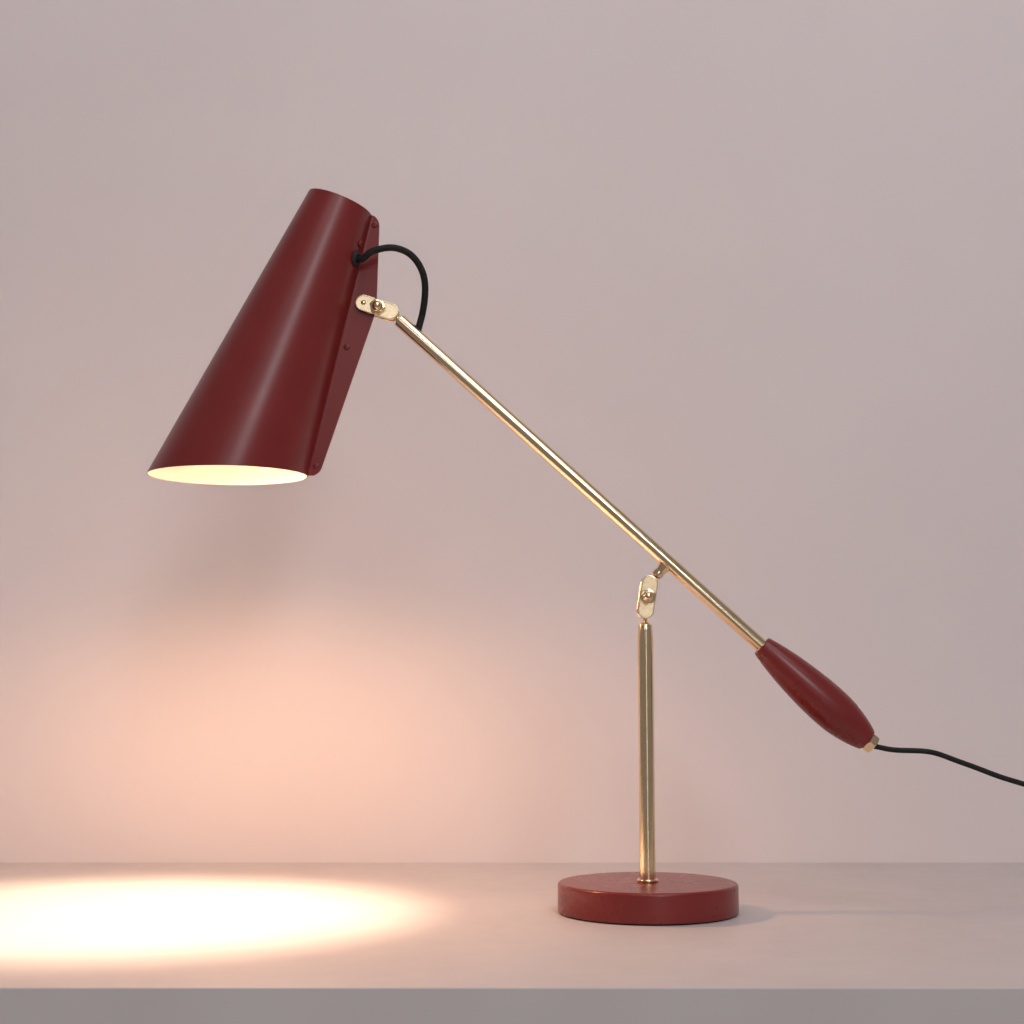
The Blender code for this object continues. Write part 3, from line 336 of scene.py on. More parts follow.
def turned(profile, steps=72, flats=None):
    """A solid turned about local Z from (radius, height) points; a bored one closes on itself."""
    rows = []
    for radius, height in profile:
        if radius == 0:
            rows.append([(0, 0, height)])
            continue
        ring = []
        for k in range(steps):
            angle = 2 * math.pi * k / steps
            reach = radius
            if flats:
                off_flat = (angle + math.pi / 6) % (math.pi / 3) - math.pi / 6
                reach = min(radius, flats / 2 / math.cos(off_flat))
            ring.append((reach * math.cos(angle), reach * math.sin(angle), height))
        rows.append(ring)
    return skin(rows, joined=profile[0][0] != 0)


def hexagon(flats, low, high, chamfer=30, cut_low=True):
    """(radius, height) points of a hexagon's side, its corners turned down to the flats."""
    corner = flats / 2 / math.cos(math.radians(30))
    inner = flats / 2 - 0.0001
    rise = math.tan(math.radians(chamfer))
    steps = [corner + (inner - corner) * k / 6 for k in range(7)]
    top = [(r, high - (r - inner) * rise) for r in steps]
    bottom = [(r, low + (r - inner) * rise) for r in reversed(steps)]
    return (bottom if cut_low else [(corner, low)]) + top


def arc(centre, radius, start, end, count):
    """Points (u, v) of a round stretch, angles in degrees."""
    angles = [math.radians(start + (end - start) * k / count) for k in range(count + 1)]
    return [(centre[0] + radius * math.cos(a), centre[1] + radius * math.sin(a)) for a in angles]


def smooth_route(points, spacing):
    """Evenly spaced points on the natural cubic spline through the route's points."""
    route = np.array(points, float)
    span = np.linalg.norm(np.diff(route, axis=0), axis=1)
    at = np.concatenate([[0], np.cumsum(span)])
    count = len(route)
    matrix = np.eye(count)
    bend = np.zeros_like(route)
    for i in range(1, count - 1):
        matrix[i, i - 1:i + 2] = span[i - 1], 2 * (span[i - 1] + span[i]), span[i]
        bend[i] = 6 * ((route[i + 1] - route[i]) / span[i] - (route[i] - route[i - 1]) / span[i - 1])
    bend = np.linalg.solve(matrix, bend)
    fine = np.linspace(0, at[-1], 60 * count)
    k = np.clip(np.searchsorted(at, fine, side="right") - 1, 0, count - 2)
    h = span[k][:, None]
    a = (at[k + 1] - fine)[:, None]
    b = (fine - at[k])[:, None]
    curve = (bend[k] * a**3 + bend[k + 1] * b**3) / (6 * h)
    curve += (route[k] / h - bend[k] * h / 6) * a + (route[k + 1] / h - bend[k + 1] * h / 6) * b
    run = np.concatenate([[0], np.cumsum(np.linalg.norm(np.diff(curve, axis=0), axis=1))])
    steps = max(2, round(run[-1] / spacing))
    even = np.linspace(0, run[-1], steps + 1)
    return [Vector([float(np.interp(s, run, curve[:, i])) for i in range(3)]) for s in even]


def tube(path, radius, sides=16):
    """A round tube along the path, its rings carried along without twisting."""
    rows = []
    side = None
    for i, point in enumerate(path):
        ahead = (path[min(i + 1, len(path) - 1)] - path[max(i - 1, 0)]).normalized()
        side = ahead.orthogonal() if side is None else side - side.dot(ahead) * ahead
        side = side.normalized()
        up = ahead.cross(side)
        rows.append([point + radius * (math.cos(a) * side + math.sin(a) * up)
                     for a in (2 * math.pi * k / sides for k in range(sides))])
    return skin(rows)


def pillow(sections, corner_steps=8):
    """A solid through rounded rectangles: each is (height, half width x, half width y, corner)."""
    rows = []
    for height, half_x, half_y, corner in sections:
        ring = []
        for start, sx, sy in ((0, 1, 1), (90, -1, 1), (180, -1, -1), (270, 1, -1)):
            centre = (sx * (half_x - corner), sy * (half_y - corner))
            ring += [(x, y, height) for x, y in arc(centre, corner, start, start + 90, corner_steps)]
        rows.append(ring)
    return skin(rows)


def piece(name, shape, finish, body, placed=WORLD, stands_for=(), angle=34, soften=0.0):
    """A shown object that rides on a body and stands for CAD nodes."""
    bmesh.ops.recalc_face_normals(shape, faces=shape.faces)
    mesh = bpy.data.meshes.new(name)
    shape.to_mesh(mesh)
    shape.free()
    mesh.shade_smooth()
    mesh.set_sharp_from_angle(angle=math.radians(angle))
    mesh.materials.append(finish)
    made = bpy.data.objects.new(name, mesh)
    bpy.context.scene.collection.objects.link(made)
    made.matrix_world = placed
    if soften:
        bevel = made.modifiers.new("soft_edges", "BEVEL")
        bevel.width = soften
        bevel.segments = 3
        bevel.limit_method = "ANGLE"
        bevel.angle_limit = math.radians(angle)
        bevel.harden_normals = True
    if body:
        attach(made, body)
    if stands_for:
        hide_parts(*stands_for)
    return made


def wear(finish, *nodes):
    """Gives CAD nodes whose shape is shown as it is a detailed material."""
    for node in nodes:
        held = frame["nodes"][node].data.materials
        held.clear()
        held.append(finish)


# ---------------------------------------------------------------- base and column

def make_base():
    top = BASE_TOP
    edge = arc((BASE_RADIUS - BASE_EDGE, top - BASE_EDGE), BASE_EDGE, 90, 0, 10)
    low = PAD_THICKNESS + GAP
    foot = arc((BASE_RADIUS - 0.001, low + 0.001), 0.001, 0, -90, 5)
    rings = [(r, top) for r in (0.0046, 0.010, 0.022, 0.040, 0.060, 0.072)]
    profile = [(0.0046, low)] + rings + edge + foot + [(0.060, low), (0.030, low)]
    piece("foot_weight", turned(profile, 160), RED_TURNED, "base", WORLD, ["base_weight"])
    pad = [(0, 0.0), (0.060, 0.0), (PAD_RADIUS - 0.0006, 0.0), (PAD_RADIUS, 0.0006),
           (PAD_RADIUS, PAD_THICKNESS), (0, PAD_THICKNESS)]
    piece("foot_pad", turned(pad, 120), RUBBER, "base", WORLD, ["base_pad"])


def make_column():
    foot = BASE_TOP + GAP
    bore = COLUMN_RADIUS - COLUMN_WALL
    tip = arc((COLUMN_TIP_RADIUS - 0.0005, COLUMN_TOP - 0.0005), 0.0005, 90, 8, 5)
    profile = [(bore, foot), (bore, COLUMN_TOP)] + tip
    profile += [(0.0066, 0.2498), (0.0070, 0.2435), (COLUMN_RADIUS, COLUMN_TAPER_START)]
    profile += [(COLUMN_RADIUS, foot)]
    piece("column", turned(profile, 80), COLUMN_BRASS, "base", WORLD, ["column_tube"])
    inner = COLUMN_RADIUS + GAP
    collar = [(inner, foot), (inner, foot + 0.0024)] + arc((0.0083, foot + 0.0013), 0.0012, 90, 0, 6)
    collar += [(0.0095, foot + 0.0004), (0.0093, foot)]
    piece("column_collar", turned(collar, 72), TURNED_BRASS, "base", WORLD, ["foot_collar"])


def ball_profile(neck_end, rest):
    """(radius, height) points of a ball at height 0 on its neck, then the rest of the stud."""
    leave = math.degrees(math.acos(NECK_RADIUS / BALL_RADIUS))
    side = arc((0, 0), BALL_RADIUS, -90, leave, 20)[1:]
    return [(0, -BALL_RADIUS)] + side + [(NECK_RADIUS, neck_end)] + rest


def make_studs():
    down = frame_at(LOWER_BALL, (0, 0, -1))
    face = LOWER_BALL.z - COLUMN_TOP - GAP
    end = LOWER_BALL.z - 0.224
    rest = [(0.0023, face - 0.0029), (0.0042, face - 0.0009), (0.0046, face - 0.0004), (0.0046, face),
            (BOLT_RADIUS, face), (BOLT_RADIUS, end), (0, end)]
    stud = turned(ball_profile(face - 0.0032, rest), 48)
    piece("column_stud", stud, TURNED_BRASS, "column_stud", down, ["column_ball_stud"])
    shank = 0.0025
    end = ARM_STUD_REACH - 0.0010
    rest = [(0.0024, 0.0086), (0.0040, 0.0092), (0.0050, 0.0097), (0.0053, 0.0104), (0.0053, 0.0136),
            (0.0049, 0.0143), (0.0043, STUD_SEAT), (shank, STUD_SEAT), (shank, end), (0, end)]
    stud = turned(ball_profile(0.0083, rest), 72, STUD_FLATS)
    piece("arm_stud", stud, TURNED_BRASS, "arm_stud", ARM_STUD, ["arm_ball_stud"])
    face = ARM_START - GAP
    shank = NECK_RADIUS + 0.0002
    end = 0.0242
    rest = [(0.0026, face - 0.0014), (0.0036, face - 0.0006), (0.0037, face), (shank, face), (shank, end),
            (0, end)]
    stud = turned(ball_profile(face - 0.0018, rest), 48)
    piece("head_stud", stud, TURNED_BRASS, "head_stud", ARM, ["arm_end_ball_stud"])


# ---------------------------------------------------------------- knuckles

def plate_outline(length, radius, count=28):
    return arc((0, length), radius, 0, 180, count) + arc((0, 0), radius, 180, 360, count)


def make_knuckle(prefix, placed, body, length, drilled):
    """Clamp plates with softly broken edges, a clamp bolt and its domed nut."""
    inner = PLATE_GAP / 2
    outer = inner + PLATE_THICKNESS
    soft = 0.00055
    for side, sign in (("front", 1), ("rear", -1)):
        levels = [(inner, 0.0004), (inner + 0.0004, 0)]
        levels += [(outer - soft + soft * math.sin(a), soft * (1 - math.cos(a)))
                   for a in (math.radians(90 * k / 5) for k in range(6))]
        rows = []
        for depth, inset in levels:
            rows.append([(x, sign * depth, z) for x, z in plate_outline(length, LINK_RADIUS - inset)])
        for inset in (0.0020, 0.0045):
            rows.append([(x, sign * outer, z) for x, z in plate_outline(length, LINK_RADIUS - inset)])
        made = piece(f"{prefix}_{side}_plate", skin(rows), PLATE_BRASS, body, placed,
                     [f"{prefix}_plate_{side}"], angle=50)
        for height in (0,) if drilled else (0, length):
            hollow(made, ball_cutter(BALL_RADIUS + GAP, height), placed)
        hollow(made, drill(BOLT_RADIUS + GAP), across(placed, z=LINK_PITCH / 2))
        if drilled:
            hollow(made, drill(NECK_RADIUS + GAP), across(placed, z=length))
    middle = across(placed, z=LINK_PITCH / 2)
    seat = outer + GAP
    head = [(u, -seat - 0.0012 + v * 0.62) for u, v in arc((0, 0), 0.0058, -90, 0, 14)]
    bolt = [(0, head[0][1])] + head[1:] + [(0.0058, -seat - 0.0003), (0.0056, -seat), (BOLT_RADIUS, -seat),
                                           (BOLT_RADIUS, seat + 0.0055), (0, seat + 0.0055)]
    piece(f"{prefix}_bolt", turned(bolt, 64), TURNED_BRASS, body, middle, [f"{prefix}_clamp_bolt"])
    hole = BOLT_RADIUS + GAP
    base = seat + 0.0044
    dome = arc((0, base + 0.0008), 0.0044, 0, 90, 16)
    side = hexagon(NUT_FLATS, seat, seat + 0.0042)
    nut = [(0, seat + 0.0060), (hole, seat + 0.0058), (hole, seat)] + side
    nut += [(0.0056, base - 0.0001), (0.0049, base + 0.0001), (0.0045, base + 0.0004)]
    nut += dome[:-1] + [(0, dome[-1][1])]
    piece(f"{prefix}_domed_nut", turned(nut, 96, NUT_FLATS), TURNED_BRASS, body, middle,
          [f"{prefix}_acorn_nut"], angle=20, soften=0.00012)


def drill(radius, reach=0.012):
    return turned([(0, -reach), (radius, -reach), (radius, reach), (0, reach)], 40)


def ball_cutter(radius, height):
    side = arc((0, height), radius, -90, 90, 24)[1:-1]
    return turned([(0, height - radius)] + side + [(0, height + radius)], 48)


def hollow(target, shape, placed, angle=34):
    """Cuts a shape out of a piece, for good."""
    bmesh.ops.recalc_face_normals(shape, faces=shape.faces)
    mesh = bpy.data.meshes.new("cutter")
    shape.to_mesh(mesh)
    shape.free()
    tool = bpy.data.objects.new("cutter", mesh)
    bpy.context.scene.collection.objects.link(tool)
    tool.matrix_world = placed
    modifier = target.modifiers.new("hollow", "BOOLEAN")
    modifier.operation = "DIFFERENCE"
    modifier.solver = "EXACT"
    modifier.object = tool
    bpy.context.view_layer.update()
    cut = bpy.data.meshes.new_from_object(target.evaluated_get(bpy.context.evaluated_depsgraph_get()))
    target.modifiers.remove(modifier)
    cut.set_sharp_from_angle(angle=math.radians(angle))
    target.data = cut
    bpy.data.objects.remove(tool)


# ---------------------------------------------------------------- arm

def make_arm():
    profile = [(ARM_BORE, ARM_START), (ARM_BORE, ARM_END), (ARM_RADIUS, ARM_END)]
    profile += [(ARM_RADIUS, z) for z in (0.45, 0.30, 0.15, ARM_START + 0.0006)]
    profile += arc((ARM_RADIUS - 0.0005, ARM_START + 0.0005), 0.0005, 0, -90, 4)
    piece("arm", turned(profile, 80), TUBE_BRASS, "arm", ARM, ["arm_tube"])
    low = STUD_SEAT + GAP
    to_tube = ARM_STUD_REACH - ARM_RADIUS
    high = to_tube + 0.0014
    profile = [(0.0028, low), (0.0028, high), (0.0063, high), (0.0059, to_tube - 0.0006),
               (0.0050, low + 0.0026), (0.0047, low + 0.0006), (0.0045, low)]
    saddle = turned(profile, 72)
    made = piece("arm_saddle_shown", saddle, TURNED_BRASS, "arm", ARM_STUD, ["arm_saddle"])
    reach = 0.02
    rod = [(0, ARM_STUD_AT - reach), (ARM_RADIUS + 0.0001, ARM_STUD_AT - reach),
           (ARM_RADIUS + 0.0001, ARM_STUD_AT + reach), (0, ARM_STUD_AT + reach)]
    hollow(made, turned(rod, 80), ARM)
    bore = HEAD_CORD_DIAMETER / 2 + 0.0002
    liner = [(bore, 0.0043), (bore, 0.0130), (CORD_SLEEVE, 0.0130), (CORD_SLEEVE, 0.0043)]
    bush = piece("arm_cord_bush_shown", turned(liner, 64), RUBBER, "arm", CORD_HOLE, ["arm_cord_bush"])
    proud = ARM_RADIUS + 0.0004
    around = [(proud, 0.012), (proud, 0.055), (0.020, 0.055), (0.020, 0.012)]
    hollow(bush, turned(around, 96), ARM)


def make_counterweight():
    """Turned torpedo: its radius follows a few stations, rounded by a spline."""
    stations = np.array([0.0, 0.014, 0.0345, 0.056, 0.077, 0.095, 0.1106, 0.1186, COUNTERWEIGHT_LENGTH])
    radii = np.array([0.0098, 0.0128, 0.0160, 0.0181, 0.0190, 0.0182, 0.0153, 0.0131, 0.0104])
    flat = np.column_stack([stations, radii, np.zeros(len(radii))])
    outline = [(p[1], p[0] + COUNTERWEIGHT_START) for p in smooth_route(flat, 0.0024)]
    bore = ARM_RADIUS + GAP
    start = COUNTERWEIGHT_START
    end = start + COUNTERWEIGHT_LENGTH
    first, last = outline[0][0], outline[-1][0]
    profile = [(bore, start), (bore, end), (last - 0.0006, end), (last - 0.0001, end - 0.0005)]
    profile += outline[-2:0:-1] + [(first, start + 0.0007), (first - 0.0006, start)]
    piece("torpedo_weight", turned(profile, 112), RED_TURNED, "arm", ARM, ["counterweight"],
          angle=50)


def make_gland():
    start = GLAND_START
    end = start + GLAND_LENGTH
    bore, outlet, flats = 0.0067, 0.0037, 0.0164
    nut = [(bore, start)] + hexagon(flats, start, end - 0.0006, 35)
    nut += [(0.0078, end - 0.0003), (0.0070, end), (outlet + 0.0004, end), (outlet, end - 0.0004),
            (outlet, end - 0.0016), (bore, end - 0.0016)]
    piece("gland_nut_shown", turned(nut, 96, flats), TURNED_BRASS, "arm", ARM, ["gland_nut"],
          angle=20, soften=0.00015)


# ---------------------------------------------------------------- shade

def fin_width(along):
    """How far the fin reaches from the seam, with its round corners at both ends."""
    upper = 0.0082 + 0.205 * along
    lower = 0.0339 - 0.0925 * along
    reach = (upper + lower - math.sqrt((upper - lower) ** 2 + 0.0012**2)) / 2
    inside = CORNER_REACH - min(along, SEAM_LENGTH - along)
    if inside > 0:
        reach -= FIN_CORNER - math.sqrt(FIN_CORNER**2 - inside**2)
    return reach


def sheet_section(depth, width, turns=150):
    """(x, y) points of one face of the sheet at the top, from fin edge to fin edge."""
    radius = SHADE_TOP_RADIUS
    flat = FIN_SLIT / 2 + SHEET - depth
    side = FIN_SLIT / 2 + SHEET + BEND_RADIUS
    bend_x = math.sqrt((radius + BEND_RADIUS) ** 2 - side**2)
    turn = math.degrees(math.asin(side / (radius + BEND_RADIUS)))
    reach = radius + width
    fin = [(bend_x + (reach - bend_x) * share, flat) for share in (1.0, 0.7, 0.4, 0.15)]
    bend = arc((bend_x, side), BEND_RADIUS + depth, 270, 180 + turn, 8)
    first = [turn + 1.0, turn + 2.5]
    wall = [(math.cos(math.radians(a)) * (radius - depth), math.sin(math.radians(a)) * (radius - depth))
            for a in first]
    wall += arc((0, 0), radius - depth, turn + 4.5, 180, turns // 2)[:-1]
    half = fin + bend + wall
    return half + [(-(radius - depth), 0.0)] + [(x, -y) for x, y in reversed(half)]


def shade_point(x, y, share):
    """A section point carried down the cone: the rim is cut level, whatever the shade's lean."""
    radius = math.hypot(x, y)
    spread = Vector((x / radius, y / radius, 0)) * math.sin(SHADE_HALF_ANGLE)
    down = Vector((0, 0, math.cos(SHADE_HALF_ANGLE))) + spread
    start = Vector((x, y, 0))
    top = (SHADE @ start).z
    fall = top - (SHADE @ (start + down)).z
    return start + down * (share * (top - SHADE_RIM_HEIGHT) / fall)


def carry(x, y, share):
    """The bend and the fin go down straight along the seam, the rest of the sheet along the cone."""
    if x < SHADE_TOP_RADIUS - 0.002 or abs(y) > 0.004:
        return shade_point(x, y, share)
    seam = Vector((SHADE_TOP_RADIUS, 0, 0))
    down = shade_point(SHADE_TOP_RADIUS, 0.0, 1.0) - seam
    out = Vector((x, y, 0)) - seam
    level = 1 - out.x * math.sin(SHADE_LEAN) / (SEAM_START.z - SHADE_RIM_HEIGHT)
    return seam + down * share * level + out


def make_shade():
    corner = [CORNER_REACH * (1 - math.cos(math.radians(90 * k / 8))) for k in range(9)]
    middle = [0.018, 0.032, 0.046, 0.058, 0.068, 0.075, 0.080, 0.083, 0.085, 0.087, 0.089, 0.092, 0.096,
              0.104, 0.116, 0.132, 0.150, 0.168, 0.186, 0.204, 0.222, 0.236]
    rows = []
    for along in corner + middle + [SEAM_LENGTH - step for step in reversed(corner)]:
        share = along / SEAM_LENGTH
        width = fin_width(along)
        outer = [carry(x, y, share) for x, y in sheet_section(0.0, width)]
        inner = [carry(x, y, share) for x, y in sheet_section(SHEET, width)]
        rows.append(outer + inner[::-1])
    shape = skin(rows)
    half = len(rows[0]) // 2
    columns = len(rows[0])
    fin_columns = 12
    for i, face in enumerate(shape.faces):
        column = i % columns
        inside = half + fin_columns <= column < columns - fin_columns
        if len(face.verts) == 4 and inside:
            face.material_index = 1
    made = piece("shade", shape, RED, "head", SHADE, ["shade_shell"], angle=50, soften=0.00028)
    made.data.materials.append(LINING)


def wall_frame(along, angle):
    """Local Z out of the shade's wall, this far down its axis and this angle from the seam."""
    radius = SHADE_TOP_RADIUS + along * math.tan(SHADE_HALF_ANGLE)
    out = Vector((math.cos(angle), math.sin(angle), 0)) * math.cos(SHADE_HALF_ANGLE)
    out.z = -math.sin(SHADE_HALF_ANGLE)
    z = (SHADE.to_3x3() @ out).normalized()
    y = (SHADE.to_3x3() @ Vector((-math.sin(angle), math.cos(angle), 0))).normalized()
    placed = Matrix((y.cross(z), y, z)).transposed().to_4x4()
    placed.translation = SHADE @ Vector((radius * math.cos(angle), radius * math.sin(angle), along))
    return placed


def make_shade_fittings():
    grommet = wall_frame(GROMMET_AT, GROMMET_ANGLE)
    bore = HEAD_CORD_DIAMETER / 2 + 0.0002
    ring = [(bore, -0.0040), (bore, 0.0022), (bore + 0.0004, 0.0027)]
    ring += arc((0.0046, 0.0018), 0.0013, 90, 40, 4) + [(0.0066, 0.0016)]
    ring += arc((0.0070, 0.0007), 0.0006, 70, -40, 6) + [(0.0060, 0.0002), (0.0045, 0.0002)]
    ring += [(0.0045, -0.0021), (0.0057, -0.0022), (0.0058, -0.0034), (0.0052, -0.0040)]
    piece("cord_grommet", turned(ring, 72), RUBBER, "head", grommet, ["shade_grommet"],
          angle=40)
    screw = wall_frame(BRACKET_SCREW_AT, GROMMET_ANGLE)
    head = [(0.0015, 0.0003), (0.0031, 0.0003), (0.0031, 0.0009)]
    head += [(u, 0.0009 + v * 0.42) for u, v in arc((0, 0), 0.0029, 10, 68, 8)]
    head += [(0.0009, 0.0020), (0.0008, 0.0012), (0, 0.0012)]
    body = [(0, -0.0075), (0.0013, -0.0075), (0.0015, -0.0072)] + head
    piece("strap_screw", turned(body, 48), RED, "head", screw, ["bracket_screw"])
    for name, (along, out) in zip(("top", "middle", "bottom"), RIVET_PLACES):
        face = FIN_SLIT / 2 + SHEET + 0.0001
        dome = [(0.0029, face), (0.0029, face + 0.0003), (0.0026, face + 0.0008), (0.0020, face + 0.0011),
                (0.0012, face + 0.0012), (0.0010, face + 0.0010), (0.0009, face + 0.0003), (0, face + 0.0003)]
        profile = [(r, -h) for r, h in reversed(dome)] + [(0.0015, -face), (0.0015, face)] + dome
        piece(f"rivet_{name}", turned(profile, 48), RED, "head", across(SEAM, out, along),
              [f"fin_rivet_{name}"])
    end = PLATE_GAP / 2 + PLATE_THICKNESS + 0.0002
    pin = [(0, -end - 0.0003), (0.0012, -end - 0.0002), (0.0019, -end + 0.0004), (0.0019, end - 0.0004),
           (0.0012, end + 0.0002), (0, end + 0.0003)]
    piece("fin_pin_shown", turned(pin, 40), TURNED_BRASS, "head", across(HEAD_LINK, z=HEAD_PIN_AT),
          ["fin_pin"], angle=60)
    centre, glass = 0.1520, 0.0295
    neck = [(0.0128, 0.1043), (0.0134, 0.1070), (0.0142, 0.1120), (0.0160, 0.1190), (0.0186, 0.1258)]
    outer = neck + arc((0, centre), glass, -45, 90, 28)[1:-1]
    bulb = [(0, 0.1043)] + outer + [(0, centre + glass)]
    piece("bulb", turned(bulb, 80), OPAL, "head", SHADE, ["bulb_glass"], angle=60)


# ---------------------------------------------------------------- cords

def arm_point(along, off, front=0.0):
    return HEAD_BALL + along * ALONG_ARM + off * OFF_ARM + Vector((0, -front, 0))


def head_cord_path():
    """Out of the shade's grommet, up and over in a loop, and into the top of the arm."""
    def in_hole(height, front=0.0):
        return CORD_HOLE @ Vector((0, front, height))

    grommet = wall_frame(GROMMET_AT, GROMMET_ANGLE)
    out = grommet.to_3x3() @ Vector((0, 0, 1))
    hole = grommet.translation
    route = [hole + 0.0034 * out, hole + 0.0060 * out,
             (-0.2530, -0.0180, 0.5944), (-0.2430, -0.0192, 0.5986), (-0.2331, -0.0188, 0.6003),
             (-0.2233, -0.0170, 0.5992), (-0.2143, -0.0145, 0.5950), (-0.2075, -0.0118, 0.5878),
             (-0.2030, -0.0090, 0.5789), (-0.2011, -0.0065, 0.5684), (-0.2014, -0.0040, 0.5570),
             (-0.2027, -0.0018, 0.5476), in_hole(0.0205, 0.0003), in_hole(0.0140), in_hole(0.0090)]
    return [hole - 0.0039 * out] + smooth_route(route, 0.0020) + [in_hole(0.0046)]


def mains_path():
    """From the gland to the switch: out along the arm, then down in a loose curve onto the table."""
    door = SWITCH_CENTRE + Vector((0, -SWITCH_LENGTH / 2, CORD_IN_SWITCH))
    route = [arm_point(0.5896, -0.0008), (0.2087, -0.0001, 0.1454), (0.2138, -0.0002, 0.1443),
             (0.2204, -0.0003, 0.1432), (0.2312, -0.0005, 0.1425), (0.2430, -0.0008, 0.1422),
             (0.2563, -0.0012, 0.1408), (0.2750, -0.0018, 0.1345), (0.2950, -0.0024, 0.1272),
             (0.3160, -0.0032, 0.1192), (0.3380, -0.0045, 0.1124), (0.3580, -0.0068, 0.1046),
             (0.3760, -0.0106, 0.0935), (0.3920, -0.0165, 0.0775), (0.4060, -0.0242, 0.0575),
             (0.4190, -0.0325, 0.0365), (0.4340, -0.0408, 0.0182), (0.4520, -0.0475, 0.0068),
             (0.4730, -0.0508, 0.0029), (0.4950, -0.0480, 0.0026), (0.5120, -0.0370, 0.0042),
             door - Vector((0, 0.0080, 0.0006)), door]
    return smooth_route(route, 0.0024) + [door + Vector((0, 0.0070, 0))]


def coil_path():
    """From the switch, round a neat coil of seven and a half turns, and up into the plug on it."""
    door = SWITCH_CENTRE + Vector((0, SWITCH_LENGTH / 2, CORD_IN_SWITCH))
    lead = [door - Vector((0, 0.0070, 0)), door, door + Vector((0, 0.0080, -0.0006)),
            (0.5140, 0.0640, 0.0045), (0.5030, 0.0735, 0.0027), (0.4880, 0.0780, 0.0026),
            (0.4720, 0.0786, 0.0026)]
    cells = [(0, 0), (1, 0), (2, 0), (2, 1), (1, 1), (0, 1), (0, 2), (1, 2)]
    turns = []
    start, step, shift = 100, 10, 50
    for k, (column, layer) in enumerate(cells):
        last = k == len(cells) - 1
        following = cells[min(k + 1, len(cells) - 1)]
        for angle in range(start if k == 0 else 90, 235 if last else 450, step):
            share = 0 if last else min(1, max(0, (angle - 450 + shift) / shift))
            share = share * share * (3 - 2 * share)
            radius = COIL_COLUMNS[column] * (1 - share) + COIL_COLUMNS[following[0]] * share
            height = COIL_LAYERS[layer] * (1 - share) + COIL_LAYERS[following[1]] * share
            turn = math.radians(angle)
            turns.append(COIL_CENTRE + Vector((radius * math.cos(turn), radius * math.sin(turn), height)))
    plug = PLUG_FRONT + Vector((PLUG_LENGTH, 0, 0))
    away = [(0.4520, 0.0140, 0.0160), (0.4660, 0.0118, 0.0180), (0.4800, 0.0128, 0.0186),
            (0.4905, 0.0165, 0.0193), (0.4985, 0.0250, 0.0207), (0.5008, 0.0350, 0.0218),
            (0.4980, 0.0455, 0.0226), (0.4900, 0.0535, PLUG_FRONT.z), (0.4820, 0.0562, PLUG_FRONT.z),
            plug, plug - Vector((0.0150, 0, 0))]
    return smooth_route(lead + turns + away, 0.0026)


def make_cords():
    loop = head_cord_path()
    crest = len(loop) * 55 // 100
    halves = (("head_cord_at_shade", loop[:crest + 1], ("head", "head_stud"), []),
              ("head_cord_at_arm", loop[crest:], ("head_stud", "arm"), ["head_cord"]))
    for name, part, bodies, nodes in halves:
        made = piece(name, tube(part, HEAD_CORD_DIAMETER / 2, 20), CORD, None, WORLD, nodes)
        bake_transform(made)
    line = mains_path()
    chain = (("mains_cord_at_arm", ("arm", "arm_stud"), 0.250),
             ("mains_cord_hanging", ("arm_stud", "link"), 0.315),
             ("mains_cord_falling", ("link", "column_stud"), 0.360),
             ("mains_cord_on_table", ("column_stud", "base"), math.inf))
    start = 0
    for name, bodies, until in chain:
        end = next((i for i, p in enumerate(line) if p.x > until), len(line) - 1)
        part = line[start:end + 1]
        start = end
        nodes = ["mains_cord"] if name == "mains_cord_on_table" else []
        made = piece(name, tube(part, MAINS_DIAMETER / 2, 20), CORD, None, WORLD, nodes)
        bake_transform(made)
    coil = coil_path()
    made = piece("mains_cord_coiled", tube(coil, MAINS_DIAMETER / 2, 14), CORD, "base", WORLD,
                 ["mains_cord_coil", "mains_cord_to_coil", "mains_cord_to_plug"])
    plug = make_plug()
    ties = [make_tie("coil_tie_near", 200), make_tie("coil_tie_far", 20)]


def make_tie(name, angle):
    """A soft strap closed round the coil's bundle."""
    clear = MAINS_DIAMETER / 2 + 0.0003
    low, high = 0.00005, COIL_LAYERS[-1] + clear
    inner, outer = COIL_COLUMNS[-1] - clear, COIL_COLUMNS[0] + clear
    corner = 0.0024
    thick = 0.0009
    reach_x, reach_y = (outer - inner) / 2 - corner, (high - low) / 2 - corner
    rows = []
    for grow, width in ((0, -0.5), (0, 0.5), (1, 0.5), (1, -0.5)):
        ring = []
        for begin, sx, sy in ((0, 1, 1), (90, -1, 1), (180, -1, -1), (270, 1, -1)):
            centre = ((inner + outer) / 2 + sx * reach_x, (low + high) / 2 + sy * reach_y)
            for u, v in arc(centre, corner + grow * thick, begin, begin + 90, 6):
                ring.append((u, width * 0.009, max(v, 0.00002 if grow else 0.00018)))
        rows.append(ring)
    placed = Matrix.Translation(COIL_CENTRE) @ Matrix.Rotation(math.radians(angle), 4, "Z")
    return piece(name, skin(rows, joined=True), RUBBER, "base", placed, soften=0.0002)


